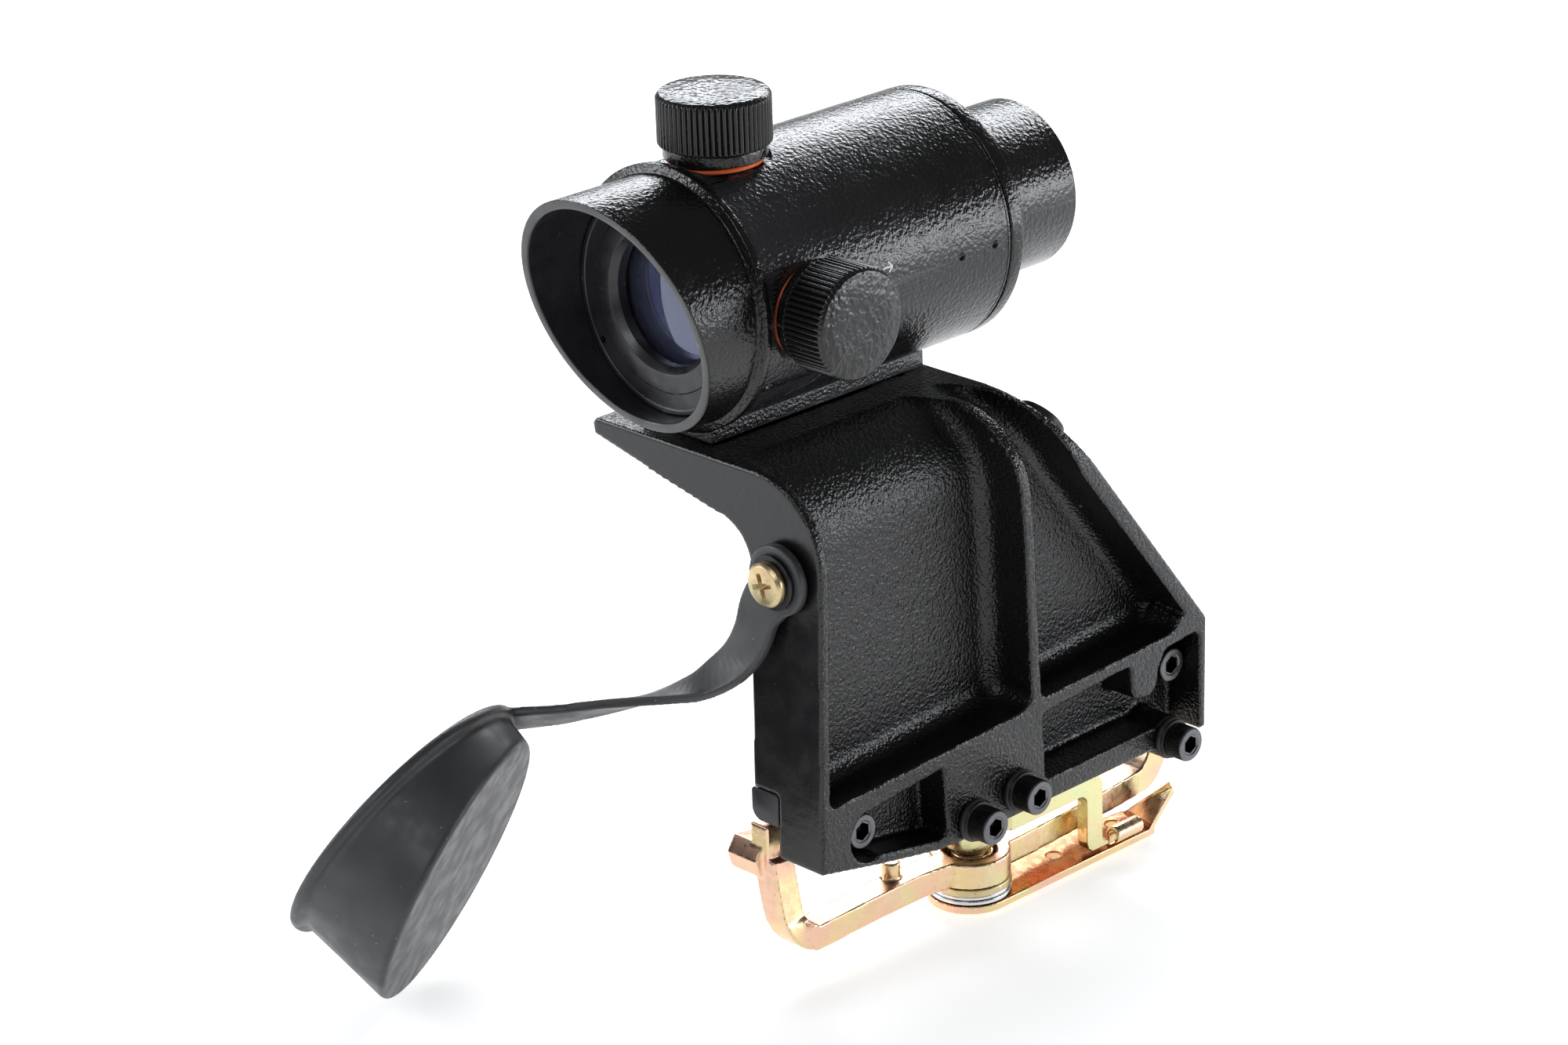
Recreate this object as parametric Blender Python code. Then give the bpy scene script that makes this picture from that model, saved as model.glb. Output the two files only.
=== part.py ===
"""Tube sight on a cast side bracket with a quick-release rail clamp.

Every size is in millimetres in the sight's own frame: the tube's axis runs along Y at x = z = 0, the hood
looks toward -Y, the adjuster turrets stand at y = 0 and the cast bracket hangs on the +X side. The whole
object is then shifted, so that the world origin is the middle of the rail seat, and turned into metres.
"""
import math

import bmesh
import bpy
from mathutils import Matrix, Vector

MM = 0.001
GAP = 0.3
STEPS = 32
X, Y, Z = Vector((1, 0, 0)), Vector((0, 1, 0)), Vector((0, 0, 1))

# Rail seat: the flat inner face of the foot bar, which lies against the rail. It becomes the world origin.
SEAT = Vector((28.0, 42.0, -110.4))

# Sight tube, lengths along Y.
TUBE_RADIUS = 30.0
TUBE_BORE = 27.0
TUBE_FRONT = -13.1
TUBE_BACK = 63.4
HOOD_RADIUS = 28.6
HOOD_BORE = 26.3
HOOD_RIM = -32.3
HOOD_SLANT = 0.3
BEAD_RADIUS = 30.8
SPIGOT_RADIUS = TUBE_BORE - GAP
EYEPIECE_RADIUS = 20.4
EYEPIECE_BACK = 96.3

# Turrets, heights from the tube's axis.
THREAD_RADIUS = 10.0
FLANGE_RADIUS = 11.8
FLANGE_BOTTOM = 30.0
FLANGE_TOP = 32.6
SPOT_RADIUS = 12.6
SPOT_FACE = 27.9
CAP_RADIUS = 12.95
CAP_BOTTOM = 32.9
CAP_TOP = 44.6
SCREW_TIP = 20.7
SCREW_RADIUS = 2.8

# Bracket casting.
TOP = -32.0
BOTTOM = -130.6
INNER_X = 28.8
OUTER_X = 50.8
FRONT_Y = -20.3
FRONT_LEAN = 2.4
PANEL_X = 38.0
FRONT_WEB = 2.7
REAR_WEB = 4.0
RIB = 3.3
NOTCH_X = 36.7

# Foot bar.
BAR_TOP = -108.0
BAR_BOTTOM = -115.8
BAR_OUTER_X = NOTCH_X - GAP

# Clamp, about a vertical pivot.
PIVOT = Vector((38.0, 38.0, 0.0))
PIN_RADIUS = 4.0
PIN_NECK = 3.0
ARM_TOP = -142.0
ARM_THICK = 6.1
ARM_WIDTH = 7.0
LEVER_TOP = -152.7
LEVER_BOTTOM = -154.7

# Front cap strap.
STRAP_SCREW = Vector((39.5, 0.0, -54.3))
STRAP_FACE = -21.6
STRAP_THICK = 2.4
CUP_CENTRE = Vector((-28.9, -78.3, -113.5))
CUP_SIDE = Vector((0.177, 0.833, 0.525)).normalized()
CUP_AXIS = Vector((0.805, 0.185, -0.564)).normalized()
CUP_ACROSS = CUP_AXIS.cross(CUP_SIDE)
CUP_RADIUS = 32.4
CUP_BEAD = 34.6
CUP_WALL = 2.2
CUP_HEIGHT = 19.0
CUP_SLOPE = 9.0

# Socket screws: name, y, z, underside of the head, face of the head, end of the shank, collar or not.
SOCKET_SCREWS = (
    ("a", -7.0, -118.5, 42.6, 48.0, 33.0, False),
    ("b", 26.2, -126.3, 53.2, 58.0, 42.0, True),
    ("c", 41.2, -124.0, 53.2, 58.0, 43.4, True),
    ("d", 94.4, -128.8, 53.2, 58.0, 42.0, True),
    ("e", 101.0, -113.5, 41.0, 46.2, 33.0, False),
)
SHANK = 2.5
FOOT_SCREW_Y = (8.0, 36.0)


def clear_scene():
    for obj in list(bpy.data.objects):
        bpy.data.objects.remove(obj)


def material(name, colour, roughness, metallic=0.0):
    made = bpy.data.materials.new(name)
    made.use_nodes = True
    shader = made.node_tree.nodes["Principled BSDF"]
    shader.inputs["Base Color"].default_value = (*colour, 1.0)
    shader.inputs["Roughness"].default_value = roughness
    shader.inputs["Metallic"].default_value = metallic
    return made


def turned(profile, direction=Y, centre=(0.0, 0.0, 0.0), steps=STEPS):
    """Turn a closed (radius, height) profile about the line through centre along direction."""
    bm = bmesh.new()
    turn = Z.rotation_difference(direction).to_matrix()
    rings = []
    for radius, height in profile:
        count = steps if radius else 1
        ring = []
        for i in range(count):
            angle = math.tau * (i + 0.5) / steps
            flat = Vector((radius * math.cos(angle), radius * math.sin(angle), height))
            ring.append(bm.verts.new(Vector(centre) + turn @ flat))
        rings.append(ring if radius else ring * steps)
    for low, high in zip(rings, rings[1:] + rings[:1]):
        for i in range(steps):
            j = (i + 1) % steps
            corners = list(dict.fromkeys((low[i], low[j], high[j], high[i])))
            if len(corners) > 2:
                bm.faces.new(corners)
    bmesh.ops.recalc_face_normals(bm, faces=bm.faces)
    return bm


def lofted(sections):
    """Join equal closed sections one after the other and close both ends."""
    bm = bmesh.new()
    rings = [[bm.verts.new(point) for point in section] for section in sections]
    for low, high in zip(rings, rings[1:]):
        for i in range(len(low)):
            j = (i + 1) % len(low)
            bm.faces.new((low[i], low[j], high[j], high[i]))
    bm.faces.new(rings[0])
    bm.faces.new(rings[-1])
    bmesh.ops.recalc_face_normals(bm, faces=bm.faces)
    return bm


def extruded(outline, plane, low, high):
    """Extrude an outline in plane "xz", "yz" or "xy" along the remaining axis from low to high."""
    place_point = {
        "xz": lambda a, b, level: (a, level, b),
        "yz": lambda a, b, level: (level, a, b),
        "xy": lambda a, b, level: (a, b, level),
    }[plane]
    return lofted([[place_point(a, b, level) for a, b in outline] for level in (low, high)])


def cylinder(radius, low, high, direction, centre, steps=20):
    return turned([(0, low), (radius, low), (radius, high), (0, high)], direction, centre, steps)


def arc(centre, radius, start, end, count):
    """Points on a circle between two angles in degrees."""
    angles = [math.radians(start + (end - start) * i / count) for i in range(count + 1)]
    return [(centre[0] + radius * math.cos(a), centre[1] + radius * math.sin(a)) for a in angles]


def angles_round(count):
    return [math.tau * i / count for i in range(count)]


def place(name, bm, finish, pivot=(0.0, 0.0, 0.0)):
    """Make an object in metres whose origin is pivot, held by the frame's empty."""
    pivot = Vector(pivot)
    bm.transform(Matrix.Scale(MM, 4) @ Matrix.Translation(-pivot))
    mesh = bpy.data.meshes.new(name)
    bm.to_mesh(mesh)
    bm.free()
    mesh.shade_smooth()
    mesh.set_sharp_from_angle(angle=math.radians(35))
    if finish:
        mesh.materials.append(finish)
    obj = bpy.data.objects.new(name, mesh)
    obj.location = pivot * MM
    obj.parent = FRAME
    bpy.context.scene.collection.objects.link(obj)
    return obj


def shape(obj, bm, operation="DIFFERENCE"):
    """Cut, add or intersect a tool that stays hidden in the file. Returns the tool."""
    tool = place(f"tool_{obj.name}_{len(obj.modifiers)}", bm, None)
    tool.hide_render = True
    tool.display_type = "WIRE"
    boolean = obj.modifiers.new(operation.title(), "BOOLEAN")
    boolean.operation = operation
    boolean.object = tool
    return tool


def front_plane(z):
    """The y of the casting's front face, which leans forward toward the bottom."""
    return FRONT_Y - FRONT_LEAN * (TOP - z) / (TOP + 123.0)


def make_hood():
    profile = [
        (26.6, HOOD_RIM), (28.3, HOOD_RIM), (HOOD_RADIUS, HOOD_RIM + 0.3), (HOOD_RADIUS, -16.0),
        (30.2, -15.4), (BEAD_RADIUS, -15.0), (BEAD_RADIUS, -13.8), (30.4, -13.4), (SPIGOT_RADIUS, -13.4),
        (SPIGOT_RADIUS, -11.7), (23.6, -11.7), (23.6, -7.5), (19.0, -7.5), (19.0, -9.6), (21.3, -9.6),
        (21.3, -14.2), (HOOD_BORE, -14.2), (HOOD_BORE, HOOD_RIM + 0.3),
    ]
    bm = turned(profile)
    for vert in bm.verts:
        if vert.co.y < HOOD_RIM + 1.0:
            vert.co.y -= HOOD_SLANT * vert.co.z
    place("hood", bm, PAINT)


def make_main_tube():
    chamfer = TUBE_RADIUS - 0.4
    tube = place("main_tube", turned([
        (TUBE_BORE, TUBE_FRONT), (chamfer, TUBE_FRONT), (TUBE_RADIUS, TUBE_FRONT + 0.4),
        (TUBE_RADIUS, TUBE_BACK - 0.4), (chamfer, TUBE_BACK), (TUBE_BORE, TUBE_BACK),
    ]), PAINT)
    for direction in (Z, X):
        shape(tube, cylinder(THREAD_RADIUS + GAP, 15, 40, direction, (0, 0, 0), 32))
        shape(tube, cylinder(SPOT_RADIUS, SPOT_FACE, 40, direction, (0, 0, 0), 32))
    for y in FOOT_SCREW_Y:
        shape(tube, cylinder(2.3, -35, -20, Z, (0, y, 0), 12))


def make_tube_foot():
    """Plate between the tube and the casting, hollowed to the tube."""
    radius = TUBE_RADIUS + GAP
    half = 11.3
    edge = math.degrees(math.asin(half / radius))
    outline = [(-half, TOP + GAP), (half, TOP + GAP)] + arc((0, 0), radius, edge - 90, -edge - 90, 8)
    foot = place("tube_foot", extruded(outline, "xz", -15.0, 53.0), SATIN)
    shape(foot, cylinder(BEAD_RADIUS + GAP, -20, TUBE_FRONT, Y, (0, 0, 0), 32))
    for y in FOOT_SCREW_Y:
        shape(foot, cylinder(2.3, -40, -20, Z, (0, y, 0), 12))
        place(f"foot_screw_{FOOT_SCREW_Y.index(y) + 1}", turned([
            (0, -38.0), (1.7, -38.0), (2.0, -37.5), (2.0, -26.4), (3.5, -26.4), (3.5, -24.6), (3.0, -24.2),
            (0, -24.2),
        ], Z, (0, y, 0), 10), BLACK_STEEL)


def make_front_optics():
    ring = place("front_retaining_ring", turned([
        (15.3, -14.5), (15.3, -17.3), (16.5, -18.5), (26.0, -18.5), (26.0, -14.5),
    ]), SATIN)
    for side in (1, -1):
        shape(ring, cylinder(0.9, -19.5, -16.0, Y, (side * 19.8, 0, side * 13.4), 12))
    seal = [(18.5 + 0.62 * math.cos(a), -13.55 + 0.62 * math.sin(a)) for a in angles_round(6)]
    place("lens_seal", turned(seal, steps=32), ORANGE_RUBBER)
    place("objective_lens", turned([
        (0, -13.5), (7.0, -13.37), (14.0, -12.97), (21.0, -12.3), (21.0, -9.9), (14.0, -9.55), (7.0, -9.3),
        (0, -9.2),
    ], steps=24), GLASS)


def make_rear():
    place("rear_cover", turned([
        (SPIGOT_RADIUS, 57.5), (SPIGOT_RADIUS, 63.7), (29.6, 63.7), (TUBE_RADIUS, 64.1), (TUBE_RADIUS, 67.3),
        (29.6, 67.7), (EYEPIECE_RADIUS, 67.7), (EYEPIECE_RADIUS, EYEPIECE_BACK - 0.4), (20.0, EYEPIECE_BACK),
        (18.6, EYEPIECE_BACK), (18.6, 84.0), (15.5, 84.0), (15.5, 80.0), (17.5, 80.0), (17.5, 64.5),
        (24.5, 64.5), (24.5, 57.5),
    ]), PAINT)
    place("rear_window", turned([(0, 84.3), (18.3, 84.3), (18.3, 86.8), (0, 86.8)], steps=24), GLASS)
    place("rear_retaining_ring", turned([
        (15.6, 87.1), (18.3, 87.1), (18.3, 90.1), (16.4, 90.1), (15.6, 89.4),
    ], steps=24), SATIN)


def make_carrier():
    """Inner tube on a gimbal, which the two adjuster screws tilt against a bow spring."""
    pivot = (0, 46, 0)
    carrier = place("inner_carrier", turned([
        (17.5, -5.0), (19.6, -5.0), (20.0, -4.6), (20.0, 49.0), (17.5, 49.0),
    ], steps=24), SATIN, pivot)
    gimbal = place("gimbal_ring", turned([(21.3, 43.0), (24.5, 43.0), (24.5, 49.0), (21.3, 49.0)], steps=24),
                   BLACK_STEEL, pivot)
    for side in (1, -1):
        shape(carrier, cylinder(1.5, side * 18.5, side * 21.0, Z, pivot, 12), "UNION")
        shape(gimbal, cylinder(1.5, side * 23.0, side * 26.7, X, pivot, 12), "UNION")
    outline = [(-6, -26.6), (-6, -26.1), (2, -20.9), (10, -26.1), (10, -26.6), (2, -21.5)]
    spring = extruded(outline, "yz", -3.0, 3.0)
    bmesh.ops.rotate(spring, cent=(0, 0, 0), matrix=Matrix.Rotation(math.radians(45), 3, "Y"), verts=spring.verts)
    place("carrier_spring", spring, SPRING_STEEL)
    place("emitter_holder", extruded([(-3, -16.9), (3, -16.9), (3, -12.0), (-3, -12.0)], "xz", 36, 44),
          SATIN, pivot)
    place("emitter_led", turned([(0, 35.7), (1.5, 35.7), (1.5, 33.0), (1.1, 32.1), (0, 31.8)],
                                Y, (0, 0, -14.4), 16), RED_PLASTIC, pivot)


def make_turret(name, direction):
    """One adjuster: a flanged seat screwed through the tube, the seal under it, the slotted screw and its cap."""
    place(f"{name}_turret_base", turned([
        (SCREW_RADIUS + GAP, 24.5), (THREAD_RADIUS, 24.5), (THREAD_RADIUS, FLANGE_BOTTOM),
        (FLANGE_RADIUS, FLANGE_BOTTOM), (FLANGE_RADIUS, FLANGE_TOP), (8.6, FLANGE_TOP), (8.6, 38.0),
        (SCREW_RADIUS + GAP, 38.0),
    ], direction, steps=20), PAINT)
    ring = [(11.05 + 0.75 * math.cos(a), 28.95 + 0.75 * math.sin(a)) for a in angles_round(6)]
    place(f"{name}_o_ring", turned(ring, direction, steps=20), ORANGE_RUBBER)
    screw = place(f"{name}_adjuster_screw", turned([
        (0, SCREW_TIP), (2.2, SCREW_TIP), (SCREW_RADIUS, 21.3), (SCREW_RADIUS, 38.3), (6.0, 38.3), (6.0, 40.4),
        (0, 40.4),
    ], direction, steps=20), BRASS)
    slot = [(-0.6, 39.2), (0.6, 39.2), (0.6, 42.0), (-0.6, 42.0)]
    if direction is Z:
        shape(screw, extruded(slot, "xz", -8, 8))
    else:
        shape(screw, extruded([(height, across) for across, height in slot], "xz", -8, 8))
    place(f"{name}_turret_cap", turned([
        (9.0, CAP_BOTTOM), (CAP_RADIUS - 0.4, CAP_BOTTOM), (CAP_RADIUS, CAP_BOTTOM + 0.4),
        (CAP_RADIUS, CAP_TOP - 0.9), (CAP_RADIUS - 0.9, CAP_TOP), (0, CAP_TOP), (0, 42.4), (9.0, 42.4),
    ], direction), PAINT)


def make_battery_side():
    """Battery tube, brightness ring and battery cap on the side away from the bracket."""
    centre = (0, 31, 0)
    housing = place("battery_housing", turned([
        (0, -24.0), (9.0, -24.0), (9.0, -33.0), (7.4, -33.0), (7.4, -38.6), (6.1, -38.6), (6.1, -31.0),
        (0, -31.0),
    ], X, centre, 24), PAINT)
    shape(housing, cylinder(TUBE_RADIUS + GAP, 10, 50, Y, (0, 0, 0), 48))
    place("battery_spring", turned([(2.5, -31.3), (5.0, -31.3), (5.0, -31.7), (2.5, -31.7)], X, centre, 20),
          SPRING_STEEL)
    place("battery", turned([
        (0, -32.0), (5.3, -32.0), (5.8, -32.4), (5.8, -37.3), (0, -37.3),
    ], X, centre, 24), NICKEL)
    place("brightness_ring", turned([(7.7, -33.3), (9.0, -33.3), (9.0, -36.0), (7.7, -36.0)], X, centre, 24),
          BLACK_STEEL)
    cap = place("battery_cap", turned([
        (7.7, -36.3), (9.0, -36.3), (9.0, -39.9), (8.6, -40.3), (0, -40.3), (0, -38.9), (7.7, -38.9),
    ], X, centre, 24), PAINT)
    slot = extruded([(-41.5, -0.7), (-39.7, -0.7), (-39.7, 0.7), (-41.5, 0.7)], "xz", 25.0, 37.0)
    shape(cap, slot)
    place("circuit_board", extruded([(20, -8), (42, -8), (42, 8), (20, 8)], "yz", -25.3, -24.1), BOARD_GREEN)


def bracket_profile():
    """Front view of the casting: tongue under the tube, arch over to the side and the wall down to the foot."""
    tongue = [(-21.4, TOP), (-22.6, -33.4), (-22.0, -36.0), (0.5, -41.0)]
    inner_arch = arc((17.3, -56.0), 11.5, 90, 0, 8)
    foot = [(INNER_X, BAR_TOP + GAP), (NOTCH_X, BAR_TOP + GAP), (NOTCH_X, BOTTOM), (OUTER_X, BOTTOM)]
    outer_arch = arc((30.8, -52.0), 20.0, 0, 90, 10)
    return tongue + inner_arch + foot + outer_arch


def bracket_side():
    """Side view of the casting."""
    return [
        (FRONT_Y, TOP), (54.0, TOP), (108.2, -101.8), (108.0, BOTTOM), (22.0, BOTTOM), (15.5, -130.4),
        (-3.9, -126.9), (front_plane(-123.0), -123.0),
    ]


def rib_line(z):
    """The y of the middle rib's front side: upright, and swept forward near the top."""
    lean = 44.6 - 0.045 * (z + 60.0)
    sweep = max(0.0, z + 62.0)
    return lean - 0.0052 * sweep * sweep


def make_bracket():
    casting = place("bracket", extruded(bracket_profile(), "xz", -40, 120), PAINT)
    shape(casting, extruded(bracket_side(), "yz", -40, 60), "INTERSECT")
    shape(casting, extruded([(-40, -5), (-23, -5), (-12, 22), (-12, 70), (-40, 70)], "xy", -60, -20))

    # Outside panels, sunk behind the front web, the middle rib and the sloping rear web.
    rib_heights = (-26, -36, -46, -58, -72, -90, -105)
    front_outline = [(front_plane(-26) + FRONT_WEB, -26), (front_plane(-109) + FRONT_WEB, -109)]
    front_outline += [(17.3, -106.7)] + [(rib_line(z), z) for z in reversed(rib_heights)]
    rear_outline = [(rib_line(z) + RIB, z) for z in rib_heights]
    rear_outline += [(98.3, -101.9), (100.9, -98.9), (67.7, -55.5), (61.1, -48.3), (45.5, -30.0)]
    panel = arc((PANEL_X - 21.0, -52.5), 21.0, 100, 0, 12)
    outside = panel + [(PANEL_X, -112.0), (62.0, -112.0), (62.0, -20.0), (8.0, -20.0)]
    for outline in (front_outline, rear_outline):
        sunk = shape(casting, extruded(outline, "yz", 0, 62))
        shape(sunk, extruded(outside, "xz", -40, 120), "INTERSECT")

    # Two pockets in the lower band.
    front_pocket = [(16.5, -110.2), (17.6, -126.5), (15.8, -127.8), (-4.7, -124.2)]
    front_pocket += arc((-7.0, -118.5), 6.4, -70, -250, 8)
    shape(casting, extruded(front_pocket, "yz", 42.3, 60))
    rear_pocket = [
        (50.2, -107.8), (80.9, -106.0), (81.4, -112.8), (85.6, -115.9), (90.3, -114.4), (91.0, -109.9),
        (93.5, -105.6), (104.4, -104.6), (105.8, -106.0), (105.8, -135.0), (98.4, -135.0), (97.0, -126.5),
        (88.4, -124.7), (51.0, -125.0),
    ]
    shape(casting, extruded(rear_pocket, "yz", 40.5, 60))

    # Screw boss, pivot boss and the upper jaw of the rail slot.
    shape(casting, cylinder(4.8, 40.0, OUTER_X, X, (0, 94.4, -128.8), 24), "UNION")
    shape(casting, cylinder(7.2, BOTTOM, BAR_BOTTOM - GAP, Z, PIVOT, 32), "UNION")
    jaw = [(INNER_X + 2, -79.0), (25.5, -79.0), (24.6, -80.0), (24.6, -83.0), (INNER_X + 2, -85.5)]
    shape(casting, extruded(jaw, "xz", -8, 82), "UNION")

    # Bores for the pivot pin and the screws.
    shape(casting, cylinder(PIN_RADIUS + GAP, -140, -117.7, Z, PIVOT, 24))
    for _, y, z, _, _, end, _ in SOCKET_SCREWS:
        shape(casting, cylinder(SHANK + GAP, end - 0.4, 60, X, (0, y, z), 20))
    shape(casting, cylinder(2.7, -30, -9.5, Y, STRAP_SCREW, 20))
    for y in FOOT_SCREW_Y:
        shape(casting, cylinder(2.3, -38.4, -20, Z, (0, y, 0), 12))
    shape(casting, cylinder(2.4, -3.7, 5.0, SLOPE, REAR_SCREW, 16))


def make_foot_bar():
    outline = [(28.0, BAR_TOP), (BAR_OUTER_X, BAR_TOP), (BAR_OUTER_X, BAR_BOTTOM)]
    outline += arc((31.0, BAR_BOTTOM + 3.0), 3.0, -90, -180, 5)
    bar = place("foot_bar", extruded(outline, "xz", -22.3, 107.0), SATIN)
    shape(bar, extruded([(-12.6, -115.0), (-12.6, -124.0), (-1.0, -124.0), (-1.0, -115.0)], "yz",
                        31.5, BAR_OUTER_X), "UNION")
    for _, y, z, _, _, end, collar in SOCKET_SCREWS:
        if not collar:
            shape(bar, cylinder(SHANK + GAP, end - 0.4, 40, X, (0, y, z), 20))


def make_socket_screws():
    for name, y, z, seat, face, end, collar in SOCKET_SCREWS:
        centre = (0, y, z)
        screw = place(f"socket_screw_{name}", turned([
            (0, end), (SHANK - 0.4, end), (SHANK, end + 0.5), (SHANK, seat), (4.25, seat), (4.25, face - 0.4),
            (3.85, face), (0, face),
        ], X, centre, 14), BLACK_STEEL)
        shape(screw, cylinder(2.35, face - 2.6, face + 1, X, centre, 6))
        if collar:
            place(f"screw_collar_{name}", turned([
                (SHANK + GAP, OUTER_X + GAP), (5.1, OUTER_X + GAP), (5.1, 52.4), (4.6, 52.9),
                (SHANK + GAP, 52.9),
            ], X, centre, 14), RUBBER)


def pan_screw(name, direction, centre, seat, length):
    """Gold screw with a domed head and a cross recess."""
    screw = place(name, turned([
        (0, seat - length), (1.6, seat - length), (2.1, seat - length + 0.6), (2.1, seat), (5.15, seat),
        (5.1, seat + 1.2), (4.3, seat + 2.3), (2.6, seat + 2.9), (0, seat + 3.1),
    ], direction, centre, 16), YELLOW_ZINC)
    turn = Z.rotation_difference(direction).to_matrix().to_4x4()
    for long, wide in ((2.4, 0.5), (0.5, 2.4)):
        bar = extruded([(-long, -wide), (long, -wide), (long, wide), (-long, wide)], "xy", seat + 1.6, seat + 5)
        bar.transform(Matrix.Translation(centre) @ turn)
        shape(screw, bar)


def make_gold_screws():
    pan_screw("strap_screw", -Y, STRAP_SCREW, 25.6, 14.0)
    place("strap_washer", turned([(2.5, 24.3), (6.4, 24.3), (6.4, 25.3), (2.5, 25.3)], -Y, STRAP_SCREW, 16),
          BLACK_STEEL)
    pan_screw("rear_plug_screw", SLOPE, REAR_SCREW, 2.7, 6.0)
    place("rear_rubber_washer", turned([(2.5, 0.3), (6.2, 0.3), (6.2, 2.4), (2.5, 2.4)], SLOPE, REAR_SCREW, 16),
          RUBBER)


def make_pivot():
    pin = [(0, -118.0), (PIN_RADIUS - 0.5, -118.0), (PIN_RADIUS, -118.5), (PIN_RADIUS, -141.9),
           (PIN_NECK, -141.9), (PIN_NECK, -154.9), (0, -154.9)]
    place("pivot_pin", turned(pin, Z, PIVOT, 24), NICKEL)
    place("thrust_washer", turned([(6.2, -148.8), (9.9, -148.8), (9.9, -150.3), (6.2, -150.3)], Z, PIVOT, 20),
          YELLOW_ZINC)
    place("spring_washer", turned([(6.2, -150.6), (9.6, -150.6), (9.6, -151.3), (6.2, -151.3)], Z, PIVOT, 20),
          NICKEL)
    place("flat_washer", turned([(6.2, -151.6), (9.9, -151.6), (9.9, -152.4), (6.2, -152.4)], Z, PIVOT, 20),
          NICKEL)


def make_latch_hook():
    """Hub on the pivot pin with a flat hook that reaches back and down to the lever."""
    low = ARM_TOP + 0.4
    hook = place("latch_hook", turned([
        (PIN_RADIUS + GAP, BOTTOM - GAP), (6.7, BOTTOM - GAP), (6.7, -138.5), (6.0, low), (PIN_RADIUS + GAP, low),
    ], Z, PIVOT, 32), LATCH_ZINC, PIVOT)
    top = BOTTOM - GAP
    outline = [(42.0, top)] + arc((70.0, top - 4.0), 4.0, 90, 0, 4)
    outline += [(74.0, -149.5), (76.0, -150.4), (75.6, -151.7), (69.6, -151.7), (68.4, -150.0)]
    outline += arc((66.0, top - 7.6), 2.4, 0, 90, 3) + [(42.0, top - 5.2)]
    shape(hook, extruded(outline, "yz", 44.5, 48.0), "UNION")
    shape(hook, extruded([(40, 43.5), (45, 39), (48, 42.5), (48, 47), (44.5, 50)], "xy", top - 5.2, top), "UNION")


def make_clamp_arm():
    """Forged bar: a front hook beside the foot bar, an eye on the pivot and a rear hook."""
    low = ARM_TOP - ARM_THICK
    corner = (-10.4, -138.1)
    stations = [((-20.4, -117.0), (-15.4, -116.2), 31.0), ((-20.4, -126.0), (-14.4, -126.0), 31.6)]
    for (oy, oz), (iy, iz), centre in zip(arc(corner, 10, 180, 270, 5), arc(corner, 3.9, 180, 270, 5),
                                          (34.0, 34.8, 35.5, 36.1, 36.4, 36.5)):
        stations.append(((oy, oz), (iy, iz), centre))
    for y, centre in ((20.0, 36.5), (30.0, 38.0), (46.5, 39.5), (74.7, 38.2), (94.0, 36.8)):
        stations.append(((y, low), (y, ARM_TOP), centre))
    stations += [((101.0, -147.0), (97.5, -141.0), 36.6), ((106.0, -141.0), (100.0, -137.6), 36.4),
                 ((107.0, -134.0), (101.0, -132.4), 36.2)]
    half = ARM_WIDTH / 2
    arm = place("clamp_arm", lofted([
        [(c - half, *outer), (c + half, *outer), (c + half, *inner), (c - half, *inner)]
        for outer, inner, c in stations
    ]), YELLOW_ZINC, PIVOT)
    shape(arm, cylinder(9.7, ARM_TOP - 6.5, ARM_TOP - 0.1, Z, PIVOT, 28), "UNION")
    shape(arm, cylinder(2.8, 19.5, 30.0, X, (0, -17.6, -127.5), 16), "UNION")
    shape(arm, cylinder(2.2, ARM_TOP - 1, -137.6, Z, (35.6, 14.0, 0), 16), "UNION")
    shape(arm, cylinder(6.5, -155, -130, Z, PIVOT, 32))


def make_lever():
    """Folded plate with a cam on the pivot, a rolled catch for the latch hook and a turned-up thumb end."""
    px, py, _ = PIVOT
    outline = arc((px, py), 10.2, 0, -180, 14)
    outline += [(28.6, 44.0), (32.0, 57.0), (34.5, 76.0), (36.6, 93.0), (40.0, 97.0), (48.5, 92.0)]
    lever = place("lever", extruded(outline, "xy", LEVER_BOTTOM, LEVER_TOP), LEVER_ZINC, PIVOT)
    shape(lever, cylinder(5.0, LEVER_TOP - 1, ARM_TOP - 0.2, Z, PIVOT + Vector((0.8, 0, 0)), 32), "UNION")
    catch = [(46.2, LEVER_TOP - 1)] + arc((48.3, -149.6), 2.1, 190, -60, 9) + [(48.4, LEVER_TOP - 1)]
    shape(lever, extruded(catch, "xz", 77.0, 86.0), "UNION")
    thumb = [
        [(37.5, 92.5, LEVER_BOTTOM), (48.5, 90.0, LEVER_BOTTOM), (48.5, 90.0, LEVER_TOP), (37.5, 92.5, LEVER_TOP)],
        [(45.6, 101.0, -146.0), (48.8, 99.0, -146.0), (48.8, 98.2, -144.0), (46.2, 100.2, -144.0)],
    ]
    shape(lever, lofted(thumb), "UNION")
    shape(lever, cylinder(PIN_NECK + GAP, -160, -130, Z, PIVOT, 24))
    shape(lever, cylinder(1.7, -160, -150, Z, (40.8, 64.2, 0), 14))
    shape(lever, cylinder(1.9, -160, -150, Z, (39.8, 86.5, 0), 14))


def cup_point(radius, angle, height):
    """A point of the front cap from its radius, the angle from the strap side and the height above the rim."""
    flat = CUP_SIDE * math.cos(angle) + CUP_ACROSS * math.sin(angle)
    return CUP_CENTRE + flat * radius + CUP_AXIS * height


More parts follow.
